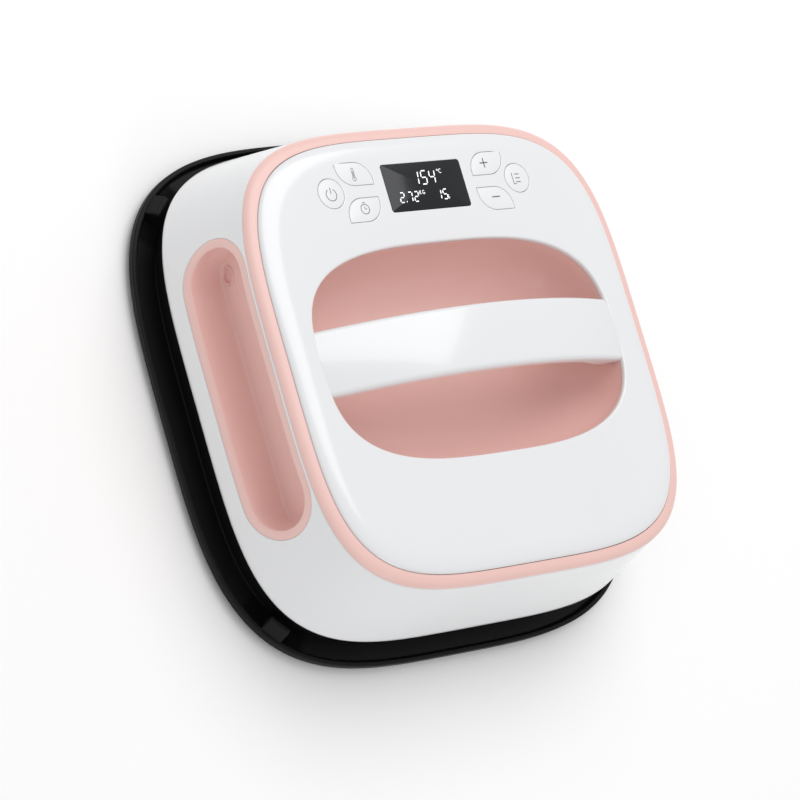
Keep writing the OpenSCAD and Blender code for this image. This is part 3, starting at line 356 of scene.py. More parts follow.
s, c = rounding()
h, n, e = stand["half"], stand["square"], stand["edge"]
outside = [[h - 2, h - 2, n, stand["low"]], [h - 0.7, h - 0.7, n, stand["low"] + 0.35],
           [h, h, n, stand["low"] + 1.4]]
outside += [[h - e * (1 - a), h - e * (1 - a), n, stand["top"] - e * (1 - b)] for a, b in zip(c, s)]
inner = h - stand["rimWidth"]
outside += [[inner + 0.5 * (1 - a), inner + 0.5 * (1 - a), n, stand["top"] - 0.5 * (1 - b)]
            for a, b in zip(s, c)]
outside += [[inner - 1, inner - 1, n, stand["floor"] + 0.4], [inner - 1.5, inner - 1.5, n, stand["floor"]]]
trayGrid = loft(outside)
addPiece("standTray", [sheet(trayGrid), fan(trayGrid[0], flip=True), fan(trayGrid[-1])], "stand",
         finish("standPlastic"), ["stand_tray"])

# four ribs on the diagonals that centre the press, each a wedge profile carried across its width
g = stand["guideWidth"] / 2
wedge = np.array([[stand["guideIn"], stand["floor"] - 0.5], [stand["guideOut"], stand["floor"] - 0.5],
                  [stand["guideOut"], 8.4], [stand["guideIn"] + 2.6, stand["guideTop"]],
                  [stand["guideIn"], stand["guideTop"]]])
guides = []
for quarter in range(4):
    turn = math.radians(45 + 90 * quarter)
    along, across = np.array([math.cos(turn), math.sin(turn)]), np.array([-math.sin(turn), math.cos(turn)])
    block = np.stack([np.column_stack([wedge[:, :1] * along + k * across, wedge[:, 1]]) for k in (-g, g)])
    guides += [sheet(block), fan(block[0], flip=True), fan(block[1])]
addPiece("standGuides", guides, "stand", finish("standPlastic"), ["stand_tray"],
         modifiers=[("BEVEL", dict(width=0.0009, segments=3, limit_method="ANGLE", angle_limit=0.6))])

feet = []
foot = revolve([[0, 0.7], [3.6, 0.7], [4, 0], [11.2, 0], [12, 0.8], [12, 4], [0, 4]], 48)
for x in (-1, 1):
    for y in (-1, 1):
        feet.append(moved(sheet(foot), x * stand["footAt"], y * stand["footAt"]))
addPiece("standFeet", feet, "stand", finish("footRubber"), ["stand_feet"])

# heat-proof pad with a raised border and a fine rounded edge
padGrid = loft([[129, 129, 4.1, 5.5], [129, 129, 4.1, 6.7], [128.7, 128.7, 4.1, 7], [126.5, 126.5, 4.1, 7],
                [126.1, 126.1, 4.1, 6.9], [125, 125, 4.1, 6.9]])
addPiece("standPad", [sheet(padGrid), fan(padGrid[0], flip=True), fan(padGrid[-1])], "stand",
         finish("padSilicone"), ["stand_pad"])
print("stand is made")


plate = dict(half=127.0, low=7.0, top=15.0, edge=1.5, square=4.1)
h, e, n = plate["half"], plate["edge"], plate["square"]
s, c = rounding(5)
rows = [[h - e * (1 - a), h - e * (1 - a), n, plate["low"] + e * (1 - b)] for a, b in zip(s, c)]
rows += [[h, h, n, plate["top"] - 0.3], [h - 0.3, h - 0.3, n, plate["top"]]]
plateGrid = loft(rows)
addPiece("heatPlate", [sheet(plateGrid), fan(plateGrid[0], flip=True), fan(plateGrid[-1])], "press",
         finish("plateCoating"), ["heat_plate"])

skirt = dict(outer=130.5, inner=127.8, low=8.0, seat=19.7, top=29.7, tongue=128.2)
k = skirt
rows = [[k["inner"], k["inner"], n, k["low"] + 0.3], [k["inner"] + 0.3, k["inner"] + 0.3, n, k["low"]],
        [k["outer"] - 0.8, k["outer"] - 0.8, n, k["low"]], [k["outer"] - 0.2, k["outer"] - 0.2, n,
                                                            k["low"] + 0.25],
        [k["outer"], k["outer"], n, k["low"] + 0.8], [k["outer"], k["outer"], n, k["seat"]],
        [k["tongue"], k["tongue"], n, k["seat"]], [k["tongue"], k["tongue"], n, k["top"]],
        [k["tongue"] - 2.7, k["tongue"] - 2.7, n, k["top"]], [k["tongue"] - 2.7, k["tongue"] - 2.7, n, 16],
        [k["inner"], k["inner"], n, 16]]
addPiece("baseSkirt", [sheet(loft(rows), ringRows=True)], "press", finish("skirtPlastic"),
         ["base_skirt"])
print("heat plate and skirt are made")


shell = dict(square=4.1, topHalf=124.0, baseHalf=135.4, wide=25.4, top=81.0, lip=80.6, baseRound=5.5,
             wall=2.3,
             holeHalf=57.0, holeRadius=22.55, holeHeight=57.2, flankReach=0.69, flankColumns=97,
             flankRows=27, endColumns=97)


def wallHalf(z):
    # half width of the leaning wall at a height
    lean = (shell["baseHalf"] - shell["topHalf"]) * (shell["top"] - z)
    return shell["topHalf"] + lean / (shell["top"] - shell["wide"])


def wallX(y, z):
    # how far out the flank lies at y and height z
    h = wallHalf(z)
    return h * (1 - np.abs(y / h) ** shell["square"]) ** (1 / shell["square"])


# flank columns: even along the hole's straight stretch, then round its ends
u = np.linspace(-1, 1, shell["flankColumns"])
bend = 0.72
past = np.clip((np.abs(u) - bend) / (1 - bend), 0, 1)
near = np.clip(np.abs(u) / bend, 0, 1)
q1 = shell["holeHalf"] / wallHalf(shell["holeHeight"])
q = np.sign(u) * (q1 * near + (shell["flankReach"] - q1) * past)
r, hh, hz = shell["holeRadius"], shell["holeHalf"], shell["holeHeight"]
lowY = np.sign(u) * (hh * near + r * np.sin(past * np.pi / 4))
lowZ = hz - r * np.cos(past * np.pi / 4)
v = np.linspace(-1, 1, shell["flankRows"])
wallZ = shell["wide"] + (shell["lip"] - shell["wide"]) * (v + 1) / 2
endY, endZ = hh + r * np.cos(v * np.pi / 4), hz + r * np.sin(v * np.pi / 4)
full = np.full(shell["flankRows"] - 2, shell["flankReach"])
frameQ = np.concatenate([q, full, q[::-1], -full])
frameZ = np.concatenate([np.full(len(u), wallZ[0]), wallZ[1:-1], np.full(len(u), wallZ[-1]), wallZ[-2:0:-1]])
holeY = np.concatenate([lowY, endY[1:-1], lowY[::-1], -endY[-2:0:-1]])
holeZ = np.concatenate([lowZ, endZ[1:-1], 2 * hz - lowZ[::-1], endZ[-2:0:-1]])
holeQ = holeY / wallHalf(holeZ)
share = np.array([0, 0.04, 0.12, 0.25, 0.42, 0.6, 0.8, 1.0])[:, None]
gridQ, gridZ = holeQ + (frameQ - holeQ) * share, holeZ + (frameZ - holeZ) * share
flankGrid = np.stack([wallX(gridQ * wallHalf(gridZ), gridZ), gridQ * wallHalf(gridZ), gridZ], axis=-1)
flank = sheet(flankGrid, flip=True)

# one ring of unit directions: right flank, rear, left flank, front
n = shell["square"]
flankUnit = np.stack([(1 - np.abs(q) ** n) ** (1 / n), q], axis=-1)
corner = math.atan2(flankUnit[-1, 1], flankUnit[-1, 0])
turn = np.linspace(corner, np.pi - corner, shell["endColumns"])
reach = (np.abs(np.cos(turn)) ** n + np.abs(np.sin(turn)) ** n) ** (-1 / n)
rearUnit = np.stack([reach * np.cos(turn), reach * np.sin(turn)], axis=-1)
ring = np.vstack([flankUnit, rearUnit[1:-1], -flankUnit, -rearUnit[1:-1]])


def stack(units, halves, heights):
    # a column of rows of the same unit outline, each scaled by its half width
    return np.stack([np.column_stack([units * half, np.full(len(units), z)])
                     for half, z in zip(halves, heights)])


s, c = rounding(9)
b = shell["baseRound"]
lowHalves = np.concatenate([[128.6], shell["baseHalf"] - b + b * c[::-1]])
lowHeights = np.concatenate([[shell["wide"] - b], shell["wide"] - b * s[::-1]])
edgeTop = [wallHalf(shell["lip"]), 123.98, 123.85, 123.6, 117.0]
edgeZ = [shell["lip"], 80.75, 80.86, 80.9, 80.9]
front = sheet(stack(-rearUnit, wallHalf(wallZ), wallZ), ringColumns=False)

# rear: a patch drawn in to the round pocket of the cord's gland, between two plain stretches
pocket = dict(radius=8.8, height=45.5, floorY=127.64, throat=7.0, first=37, last=59)
a, b = pocket["first"], pocket["last"]
bottom, full = -rearUnit[a:b + 1, 0], np.full(shell["flankRows"] - 2, -rearUnit[b, 0])
frameQ = np.concatenate([bottom, full, bottom[::-1], -full])
frameZ = np.concatenate([np.full(len(bottom), wallZ[0]), wallZ[1:-1], np.full(len(bottom), wallZ[-1]),
                         wallZ[-2:0:-1]])
turn = np.arctan2(frameZ - pocket["height"], frameQ * wallHalf(frameZ))
holeZ = pocket["height"] + pocket["radius"] * np.sin(turn)
holeQ = pocket["radius"] * np.cos(turn) / wallHalf(holeZ)
gridQ, gridZ = holeQ + (frameQ - holeQ) * share, holeZ + (frameZ - holeZ) * share
patch = np.stack([-gridQ * wallHalf(gridZ), wallX(gridQ * wallHalf(gridZ), gridZ), gridZ], axis=-1)
cup = [[-radius * np.cos(turn), np.full(len(turn), y), pocket["height"] + radius * np.sin(turn)]
       for radius, y in ((pocket["throat"], pocket["floorY"] - 2.5), (pocket["throat"], pocket["floorY"]),
                         (pocket["radius"] - 0.3, pocket["floorY"]),
                         (pocket["radius"], pocket["floorY"] + 0.3))]
rear = [sheet(np.concatenate([np.moveaxis(np.array(cup), 1, 2), patch]), flip=True)]
rear += [sheet(stack(units, wallHalf(wallZ), wallZ), ringColumns=False)
         for units in (rearUnit[:a + 1], rearUnit[b:])]
b = shell["baseRound"]
parts = [flank, mirrored(flank), front, *rear, sheet(stack(ring, lowHalves, lowHeights)),
         sheet(stack(ring, edgeTop, edgeZ))]
addPiece("housingShell", parts, "press", finish("whiteGloss"), ["housing_shell"], closed=False,
         modifiers=[("SOLIDIFY", dict(thickness=shell["wall"] * 0.001, offset=-1.0))])

trim = dict(outer=123.9, inner=117.65, low=81.0, rise=3.7)
s, c = rounding(12)
w = trim["outer"] - trim["inner"]
rows = [[trim["inner"] + w * a, trim["inner"] + w * a, 4.2 - 0.1 * a,
         trim["low"] + 0.15 + (trim["rise"] - 0.15) * b] for a, b in zip(c, s)]
rows = [[trim["inner"], trim["inner"], 4.2, trim["low"]],
        [trim["outer"] - 0.2, trim["outer"] - 0.2, 4.1, trim["low"]]] + rows
addPiece("trimRing", [sheet(loft(rows), ringRows=True)], "press", finish("pinkSatin"),
         ["trim_ring"])
print("housing and trim ring are made")


grip = dict(half=57.0, radius=22.4, mouth=17.6, height=57.2, lip=1.3, back=111.0, backHalf=59.5, backRise=6.3,
            backRound=10.0, fillet=1.3, wall=1.8, screwY=63.0, screwZ=47.9, screwHole=5.1, plane=121.4)


def oblong(half, rise, radius, straight=60, bend=14):
    # ring of (y, z): four corner arcs at (+-half, +-rise) joined by straight stretches
    a = np.linspace(0, np.pi / 2, bend)
    arc = np.stack([half + radius * np.cos(a), rise + radius * np.sin(a)], axis=-1)
    t = np.linspace(1, -1, straight)[1:-1]
    top = np.stack([half * t, np.full(len(t), rise + radius)], axis=-1)
    upper = np.vstack([arc, top, (arc * [-1, 1])[::-1]])
    return np.vstack([upper, -upper])


def gripRow(half, rise, radius, depth, flatX=None, level=0.0):
    # the oblong laid on the flank, sunk by depth, and drawn towards a flat plane by level
    loop = oblong(half, rise, radius)
    y, z = loop[:, 0], loop[:, 1] + grip["height"]
    x = wallX(y, z) - depth
    if flatX is not None:
        x = x + (flatX - x) * level
    return np.column_stack([x, y, z])


s, c = rounding(7)
m, o = grip["mouth"], grip["radius"]
rows = [gripRow(grip["half"], 0.01, o, 2.2), gripRow(grip["half"], 0.01, o, 0.25),
        gripRow(grip["half"], 0.01, o - 0.08, 0.08),
        gripRow(grip["half"], 0.01, o - 0.25, 0.0), gripRow(grip["half"], 0.01, o - 2.0, 0.0)]
rows += [gripRow(grip["half"], 0.01, m + grip["lip"] * (1 - a), grip["lip"] * (1 - b)) for a, b in zip(s, c)]
rows += [gripRow(grip["half"], 0.01, m, grip["lip"], grip["plane"], t) for t in (0.25, 0.5, 0.75, 1.0)]


def between(t):
    return (grip["half"] + (grip["backHalf"] - grip["half"]) * t, 0.01 + (grip["backRise"] - 0.01) * t,
            m + (grip["backRound"] - m) * t)


deepest = 1 - grip["fillet"] / (grip["plane"] - grip["back"])
for t in (0.2, 0.4, 0.6, 0.8, 1.0):
    rows.append(gripRow(*between(t * deepest), 0, grip["plane"] + (grip["back"] - grip["plane"]) * t
                        * deepest, 1.0))
half, rise, radius = between(1.0)
for a, b in zip(s[1:], c[1:]):
    rows.append(gripRow(half, rise, radius - grip["fillet"] * (1 - b), 0,
                        grip["back"] + grip["fillet"] * (1 - a), 1.0))
gripGrid = np.stack(rows)
turn = circleOf(48)
hole = np.column_stack([grip["screwY"] + grip["screwHole"] * np.cos(turn),
                        grip["screwZ"] + grip["screwHole"] * np.sin(turn)])
backSheet = flat([gripGrid[-1][:, 1:], hole], lambda p: np.column_stack([np.full(len(p), grip["back"]), p]),
                 flip=False)
holeWall = np.stack([np.column_stack([np.full(48, grip["back"] - d), hole]) for d in (0, 2.0)])
rightGrip = [sheet(gripGrid), backSheet, sheet(holeWall)]
gripFinish = [("SOLIDIFY", dict(thickness=grip["wall"] * 0.001, offset=-1.0))]
addPiece("rightGrip", rightGrip, "press", finish("pinkSatin"), ["side_grip_right"],
         closed=False, modifiers=gripFinish)
addPiece("leftGrip", [mirrored(p) for p in rightGrip], "press", finish("pinkSatin"),
         ["side_grip_left"], closed=False, modifiers=gripFinish)

# screw caps in the hollows: a raised collar round a sunk middle
cap = revolve([[0, -1.3], [3.7, -1.3], [3.9, -1.1], [3.9, 0.2], [4.1, 0.4], [4.8, 0.4], [5, 0.2], [5, -1.9],
               [0, -1.9]], 48)
capRight = sheet(np.stack([grip["back"] + cap[..., 2], grip["screwY"] + cap[..., 0],
                           grip["screwZ"] + cap[..., 1]], axis=-1))
addPiece("gripScrewCaps", [capRight, mirrored(capRight)], "press", finish("pinkSatin"),
         ["grip_screw_caps"])
print("side grips are made")


panel = dict(top=88.0, under=85.5, windowY=89.15, window=(53.4, 26.3), windowRound=1.5, roundKey=8.1,
             roundAt=(63.2, 89.1), upperLeaf=(22.5, 12.5), upperAt=(45.0, 98.75), lowerLeaf=(22.0, 12.8),
             lowerAt=(44.6, 78.9), leafRound=10.5, gap=0.3, edge=0.25, capTop=88.05)


def leafRing(size, radius, grow=0.0, flip=False, steps=18):
    # leaf outline: sharp upper left and lower right corners, quarter arcs at the other two; flip mirrors it
    w, h, r = size[0] / 2 + grow, size[1] / 2 + grow, radius + grow
    a = np.linspace(np.pi, 1.5 * np.pi, steps)
    lower = np.vstack([np.stack([-w + r + r * np.cos(a), -h + r + r * np.sin(a)], axis=-1), [[w, -h]]])
    loop = np.vstack([lower, -lower])
    return (loop * [-1, 1])[::-1] if flip else loop


def diskRing(radius, grow=0.0, count=56):
    turn = circleOf(count)
    return (radius + grow) * np.column_stack([np.cos(turn), np.sin(turn)])


def windowRing(grow=0.0, steps=8):
    # rectangle with small rounded corners
    w, h = panel["window"][0] / 2 + grow, panel["window"][1] / 2 + grow
    r = panel["windowRound"] + grow
    a = np.linspace(0, np.pi / 2, steps)
    quarter = np.stack([w - r + r * np.cos(a), h - r + r * np.sin(a)], axis=-1)
    half = np.vstack([quarter, (quarter * [-1, 1])[::-1]])
    return np.vstack([half, -half])


keys = {
    "power": dict(ring=lambda grow: diskRing(panel["roundKey"], grow),
                  at=(-panel["roundAt"][0], panel["roundAt"][1])),
    "mode": dict(ring=lambda grow: diskRing(panel["roundKey"], grow), at=panel["roundAt"]),
    "temperature": dict(ring=lambda grow: leafRing(panel["upperLeaf"], panel["leafRound"], grow),
                        at=(-panel["upperAt"][0], panel["upperAt"][1])),
    "plus": dict(ring=lambda grow: leafRing(panel["upperLeaf"], panel["leafRound"], grow, True),
                 at=panel["upperAt"]),
    "timer": dict(ring=lambda grow: leafRing(panel["lowerLeaf"], panel["leafRound"], grow, True),
                  at=(-panel["lowerAt"][0], panel["lowerAt"][1])),
    "minus": dict(ring=lambda grow: leafRing(panel["lowerLeaf"], panel["leafRound"], grow),
                  at=panel["lowerAt"]),
}


cover = dict(half=117.35, square=4.2, foot=81.0, shoulder=84.7, border=11.0, wall=2.5, openingX=99.5,
             openingY=58.0,
             openingSquare=3.1, openingEdge=1.2)
h, n = cover["half"], cover["square"]
s, c = rounding(16)
rows = [[h - cover["border"] * (1 - a), h - cover["border"] * (1 - a), n,
         cover["shoulder"] + (panel["top"] - cover["shoulder"]) * b] for a, b in zip(c, s)]
rows = [[h - 2.5, h - 2.5, n, cover["foot"]], [h - 0.2, h - 0.2, n, cover["foot"]],
        [h, h, n, cover["foot"] + 0.2]] + rows
domeGrid = loft(rows)
underGrid = loft([[h - 2.5, h - 2.5, n, cover["foot"]], [h - 2.5, h - 2.5, n, 83.2],
                  [h - 5.4, h - 5.4, n, panel["under"]]])
s, c = rounding(6)
opening = lambda grow: [cover["openingX"] + grow, cover["openingY"] + grow, cover["openingSquare"]]
e = cover["openingEdge"]
rows = [opening(e + 1.0) + [panel["top"]]] + [opening(e * (1 - a)) + [panel["top"] - e * (1 - b)]
                                              for a, b in zip(s, c)] + [opening(0) + [panel["under"]]]
openingGrid = loft(rows)
parts = [sheet(domeGrid), sheet(underGrid, flip=True), sheet(openingGrid)]
topLoops, underLoops = [domeGrid[-1], openingGrid[0]], [underGrid[-1], openingGrid[-1]]
holes = [(key["ring"], key["at"], panel["gap"], panel["edge"]) for key in keys.values()]
holes.append((windowRing, (0, panel["windowY"]), 0.15, 0.2))
s, c = rounding(4)
for outline, at, gap, e in holes:
    grows = [gap + e + 0.6] + [gap + e * (1 - a) for a in s] + [gap]
    heights = [panel["top"]] + [panel["top"] - e * (1 - b) for b in c] + [panel["under"]]
    wall = np.stack([np.column_stack([outline(g) + at, np.full(len(outline(g)), z)])
                     for g, z in zip(grows, heights)])
    parts.append(sheet(wall))
    topLoops.append(wall[0])
    underLoops.append(wall[-1])
parts += [flat(topLoops, atHeight(panel["top"])), flat(underLoops, atHeight(panel["under"]))]
addPiece("topCover", parts, "press", finish("whiteGloss"), ["top_cover"], crease=40)
print("top cover is made")


bowl = dict(rim=85.2, depth=36.0, round=30.0, wall=2.5, flange=5.0)


def bowlRows(grow, steps):
    # quarter ellipse from the upright rim to the level floor
    t = np.linspace(0, np.pi / 2, steps)
    inset = bowl["round"] * (1 - np.cos(t)) - grow
    z = bowl["rim"] - 1 - grow * t / (np.pi / 2) - bowl["depth"] * np.sin(t)
    return [[cover["openingX"] - i, cover["openingY"] - i, cover["openingSquare"], k]
            for i, k in zip(inset, z)]


x, y, n = cover["openingX"], cover["openingY"], cover["openingSquare"]
f = bowl["flange"]
rows = bowlRows(0, 28)[::-1] + [[x, y, n, bowl["rim"]], [x + f, y + f, n, bowl["rim"]],
                                [x + f, y + f, n, bowl["rim"] - 1.5]] + bowlRows(bowl["wall"], 20)
bowlGrid = loft(rows)
addPiece("handRecess", [sheet(bowlGrid), fan(bowlGrid[0]), fan(bowlGrid[-1])], "press", finish("pinkSatin"),
         ["hand_recess"])
print("hand recess is made")


handle = dict(half=17.5, end=98.4, endTop=88.05, rise=20.03, upper=6.5, lower=5.5, swell=3.5, swellAt=84.6,
              swellReach=10.0,
              crown=0.8, edge=3.0, lowerEdge=4.0, overlap=1.0)


def arch(x):
    return handle["endTop"] + handle["rise"] * (1 - (x / handle["end"]) ** 2)


def openingReach(y):
    # how far the opening's outline lies from the middle at y
    n = cover["openingSquare"]
    return cover["openingX"] * (1 - np.abs(y / cover["openingY"]) ** n) ** (1 / n)


w, e = handle["half"], handle["edge"]
t = np.radians(np.linspace(0, 90, 9))
across = np.linspace(w - e, -(w - e), 25)
crownZ = -handle["crown"] * (across / (w - e)) ** 2
edgeY, edgeZ = w - e + e * np.cos(t), -handle["crown"] - e + e * np.sin(t)
sectionY = np.concatenate([[w, w], edgeY[1:-1], across, -edgeY[1:-1][::-1], [-w, -w],
                           np.linspace(-w + 0.6, w - 0.6, 9)])
sectionZ = np.concatenate([[-handle["upper"], -handle["crown"] - e], edgeZ[1:-1], crownZ, edgeZ[1:-1][::-1],
                           [-handle["crown"] - e, -handle["upper"]], np.full(9, -handle["upper"])])
along = np.sin(np.linspace(-1, 1, 121) * np.pi / 2 * 0.999)
along /= along[-1]
reach = openingReach(sectionY) + handle["overlap"]
gridX = along[:, None] * reach[None]
gridZ = arch(along * handle["end"])[:, None] + sectionZ[None]
gridY = np.broadcast_to(sectionY, gridX.shape)
upperGrid = np.stack([gridX, gridY, gridZ], axis=-1)
addPiece("handleUpper", [sheet(upperGrid), fan(upperGrid[0]), fan(upperGrid[-1])], "press",
         finish("whiteGloss"),
         ["handle_upper"], crease=50)

w, e = handle["half"] - 0.6, handle["lowerEdge"]
stepX = np.linspace(-97.2, 97.2, 121)
depth = handle["lower"] + handle["swell"] * np.exp(-((np.abs(stepX) - handle["swellAt"])
                                                     / handle["swellReach"]) ** 2)
t = np.radians(np.linspace(180, 270, 10))
arcY, arcZ = -w + e + e * np.cos(t), e + e * np.sin(t)
flatY = np.linspace(-(w - e), w - e, 13)[1:-1]
sectionY = np.concatenate([[-w], arcY, flatY, -arcY[::-1], [w]])
sectionFromLow = np.concatenate([[0], arcZ, np.zeros(len(flatY)), arcZ[::-1], [0]])
isTop = np.zeros(len(sectionY), bool)
isTop[[0, -1]] = True
topZ = arch(stepX) - handle["upper"] - 0.02
gridZ = np.where(isTop[None], topZ[:, None], (topZ - depth)[:, None] + sectionFromLow[None])
lowerGrid = np.stack([np.broadcast_to(stepX[:, None], gridZ.shape), np.broadcast_to(sectionY, gridZ.shape),
                      gridZ], axis=-1)
addPiece("handleLower", [sheet(lowerGrid), fan(lowerGrid[0]), fan(lowerGrid[-1])], "press",
         finish("whiteGloss"),
         ["handle_lower"], crease=50)
print("handle is made")


s, c = rounding(4)
rows = [(0.0, 86.4)] + [(-0.25 * (1 - a), 87.98 - 0.25 * (1 - b)) for a, b in zip(c, s)]
pane = np.stack([np.column_stack([windowRing(g) + [0, panel["windowY"]], np.full(len(windowRing(g)), z)])
                 for g, z in rows])
addPiece("displayWindow", [sheet(pane), fan(pane[0], flip=True), fan(pane[-1])], "press", finish("glassDark"),
         ["display_window"])


def stroke(path, width, low, high, ring=False):
    # flat line of the given width along a path of (x, y), as a thin block
    path = np.array(path, float)
    step = path[1:] - path[:-1]
    ahead = np.roll(path, -1, axis=0) - path if ring else np.vstack([step, step[-1:]])
    behind = path - np.roll(path, 1, axis=0) if ring else np.vstack([step[:1], step])
    a = ahead / np.linalg.norm(ahead, axis=1, keepdims=True)
    b = behind / np.linalg.norm(behind, axis=1, keepdims=True)
    sideA, sideB = np.column_stack([-a[:, 1], a[:, 0]]), np.column_stack([-b[:, 1], b[:, 0]])
    side = (sideA + sideB) / (1 + np.sum(sideA * sideB, axis=1, keepdims=True))
    left, right = path + side * width / 2, path - side * width / 2
    block = np.stack([np.column_stack([edge, np.full(len(path), z)])
                      for edge, z in ((left, low), (right, low), (right, high), (left, high))], axis=1)
    parts = [sheet(block, ringRows=ring)]
    if not ring:
        parts += [fan(block[0]), fan(block[-1])]
    return parts


def arc(centre, radius, start, stop, steps=24, squash=1.0):
    t = np.radians(np.linspace(start, stop, steps))
    return np.column_stack([centre[0] + radius * squash * np.cos(t), centre[1] + radius * np.sin(t)])


digits = dict(width=0.62, lift=88.0, height=0.05, slant=0.12, gap=0.12)
segments = {"0": "abcdef", "1": "bc", "2": "abged", "4": "fgbc", "5": "afgcd", "7": "abc"}
ends = {"a": (0, 2, 1, 2), "b": (1, 2, 1, 1), "c": (1, 1, 1, 0), "d": (0, 0, 1, 0), "e": (0, 1, 0, 0),
        "f": (0, 2, 0, 1), "g": (0, 1, 1, 1)}


def digitParts(text, x, y, wide, tall, pitch):
    # seven-segment digits, each lit segment a short slanted stroke
    found, d = [], digits
    for place, figure in enumerate(text):
        for name in segments[figure]:
            x0, y0, x1, y1 = ends[name]
            start, stop = np.array([x0 * wide, y0 * tall / 2]), np.array([x1 * wide, y1 * tall / 2])
            ahead = (stop - start) / np.linalg.norm(stop - start)
            path = np.array([start + ahead * (d["width"] / 2 + d["gap"]),
                             stop - ahead * (d["width"] / 2 + d["gap"])])
            path[:, 0] += d["slant"] * path[:, 1] + x + place * pitch
            path[:, 1] += y
            found += stroke(path, d["width"], d["lift"], d["lift"] + d["height"])
    return found


low, high = digits["lift"], digits["lift"] + digits["height"]
shown = digitParts("154", -7.6, 90.0, 3.5, 7.4, 5.6)
for text, x in (("2", -19.6), ("72", -14.2), ("15", 5.4)):
    shown += digitParts(text, x, 80.9, 2.7, 5.4, 4.2)
shown += stroke([(-15.6, 80.9), (-15.5, 81.5)], 0.6, low, high)
shown += stroke(arc((10.3, 97.2), 0.45, 0, 345, 12), 0.25, low, high)
shown += stroke(arc((12.2, 96.6), 1.1, 50, 310, 14, 0.8), 0.3, low, high)
shown += stroke([(-5.6, 84.6), (-5.5, 86.7)], 0.28, low,
                high) + stroke([(-4.4, 86.7), (-5.4, 85.7), (-4.5, 84.6)], 0.28, low, high)
shown += stroke(np.vstack([arc((-2.8, 85.65), 1.0, 50, 340, 14, 0.75), [(-2.85, 85.5)]]), 0.28, low, high)
shown += stroke(np.vstack([arc((13.0, 82.5), 0.5, 30, 262, 10), arc((13.0, 81.5), 0.5, 82, -150, 10)]), 0.26,
                low, high)
addPiece("displayDigits", shown, "press", finish("digitWhite"))
print("display is made")


s, c = rounding(4)
for name, key in keys.items():
    rows = [(1.2, 84.3), (1.2, 85.3), (0.0, 85.3), (0.0, 87.75)]
    rows += [(-0.3 * (1 - a), panel["capTop"] - 0.3 * (1 - b)) for a, b in zip(c, s)]
    ringAt = lambda g, z: np.column_stack([key["ring"](g) + key["at"], np.full(len(key["ring"](g)), z)])
    body = np.stack([ringAt(g, z) for g, z in rows])
    stem = sheet(revolve([[0, 82.3], [2, 82.3], [2, 84.4], [0, 84.4]], 24))
    addPiece(name + "Key", [sheet(body), fan(body[0]), fan(body[-1]),
                            moved(stem, key["at"][0], key["at"][1])],
             name + "_button", finish("keyWhite"), [name + "_key"])

low, high = panel["capTop"], panel["capTop"] + 0.04
pen = 0.42
legends = {}
x, y = -63.3, 88.4
legends["power"] = stroke(arc((x, y), 3.3, 120, 420, 40), pen, low,
                          high) + stroke([(x, y + 0.6), (x, y + 4.0)], pen, low, high)
x, y = -45.5, 98.3
legends["temperature"] = stroke(np.vstack([arc((x, y - 2.2), 1.15, 125, 415, 20),
                                           arc((x, y + 3), 0.66, 0, 180, 10)]), 0.3, low, high, ring=True)
legends["temperature"] += stroke([(x, y - 2.2), (x, y + 2)], 0.45, low, high)
x, y = -44.3, 79.2
legends["timer"] = stroke(arc((x, y), 2.7, 0, 352, 40), pen, low, high, ring=True)
legends["timer"] += stroke([(x, y + 1.5), (x, y), (x + 1.3, y)], 0.36, low, high)
legends["timer"] += stroke([(x - 0.8, y + 3.6), (x + 0.8, y + 3.6)], pen, low, high)
x, y = 43.3, 99.0
legends["plus"] = stroke([(x - 2.7, y), (x + 2.7, y)], 0.7, low, high)
legends["plus"] += stroke([(x, y - 2.7), (x, y + 2.7)], 0.7, low, high)
x, y = 45.0, 79.6
legends["minus"] = stroke([(x - 2.7, y), (x + 2.7, y)], 0.7, low, high)
x, y = 62.5, 89.0
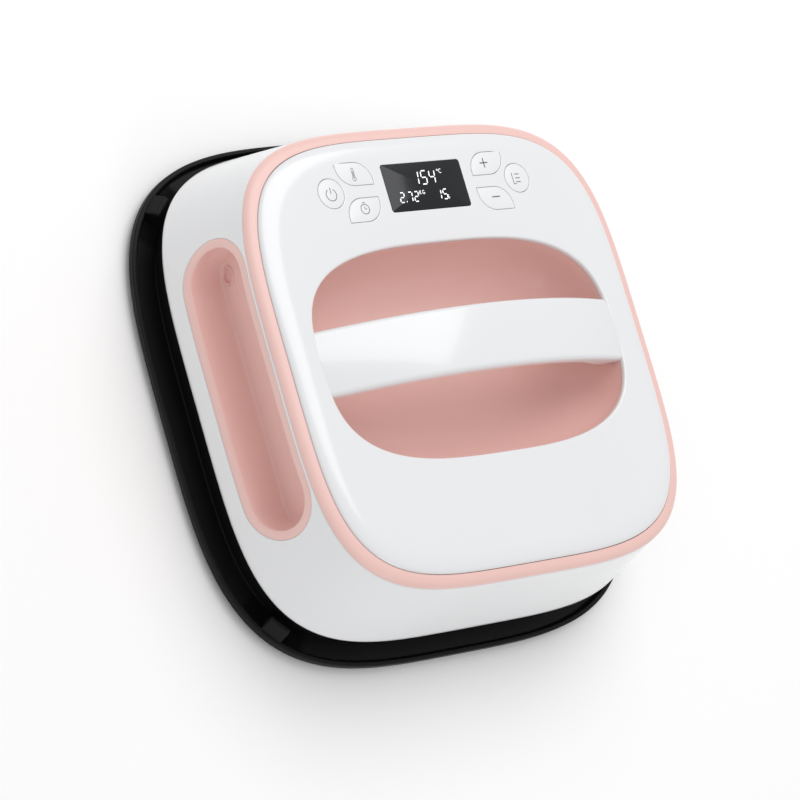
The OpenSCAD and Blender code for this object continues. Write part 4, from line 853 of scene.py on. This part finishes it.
legends["mode"] = stroke([(x - 2.4, y + 3.2), (x - 2.4, y - 3.2), (x - 0.6, y - 3.2)], pen, low, high)
for step in (-1, 0, 1):
    legends["mode"] += stroke([(x - 0.6, y + 2.2 * step), (x + 2.6, y + 2.2 * step)], 0.5, low, high)
for name, parts in legends.items():
    addPiece(name + "Legend", parts, name + "_button", finish("legendGrey"))
print("keys are made")


s, c = rounding(5)
profile = [[3.6, -14], [5.8, -14], [5.8, -0.1], [8.0, -0.1], [8.0, 1.2]]
profile += [[7.6 + 0.4 * a, 1.2 + 0.4 * b] for a, b in zip(c, s)]
profile += [[6.2, 1.6], [5.9, 1.8], [5.35, 2.4], [5.2, 2.5], [4.0, 2.5], [3.6, 2.2]]
gland = revolve(profile, 72)
gland = np.stack([gland[..., 0], pocket["floorY"] + gland[..., 2], pocket["height"] - gland[..., 1]], axis=-1)
addPiece("cordGland", [sheet(gland, ringRows=True)], "press", finish("partBlack"),
         ["cord_gland"])

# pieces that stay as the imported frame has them, by finish
kept = {
    "partBlack": ["display_module", "power_plunger", "temperature_plunger", "timer_plunger", "plus_plunger",
                  "minus_plunger", "mode_plunger", "tact_switches", "buzzer", "gland_nut"],
    "screwSteel": ["handle_screws", "board_screws", "plate_screws", "housing_screws", "cover_screws",
                   "plate_standoffs"],
    "boardGreen": ["control_board", "power_board"],
    "elementSteel": ["heating_element"],
    "ceramicWhite": ["heater_terminals"],
    "blanketFibre": ["insulation_blanket"],
    "relayBlue": ["power_relay"],
    "heatsinkAlu": ["triac_heatsink"],
    "sheetSteel": ["heat_shield", "thermal_fuse", "load_cell_front_left", "load_cell_front_right",
                   "load_cell_rear_left", "load_cell_rear_right", "chassis_plate"],
    "sensorAmber": ["thermistor"],
    "windingYellow": ["transformer"],
    "capacitorSleeve": ["filter_capacitors"],
    "terminalGreen": ["terminal_block"],
    "ribbonGrey": ["ribbon_cable"],
    "leadRed": ["heater_leads"],
    "leadBrown": ["mains_leads"],
}
for name, pieces in kept.items():
    for piece in pieces:
        for slot in nodes[piece].material_slots:
            slot.material = finish(name)
print("gland and inner pieces are finished")
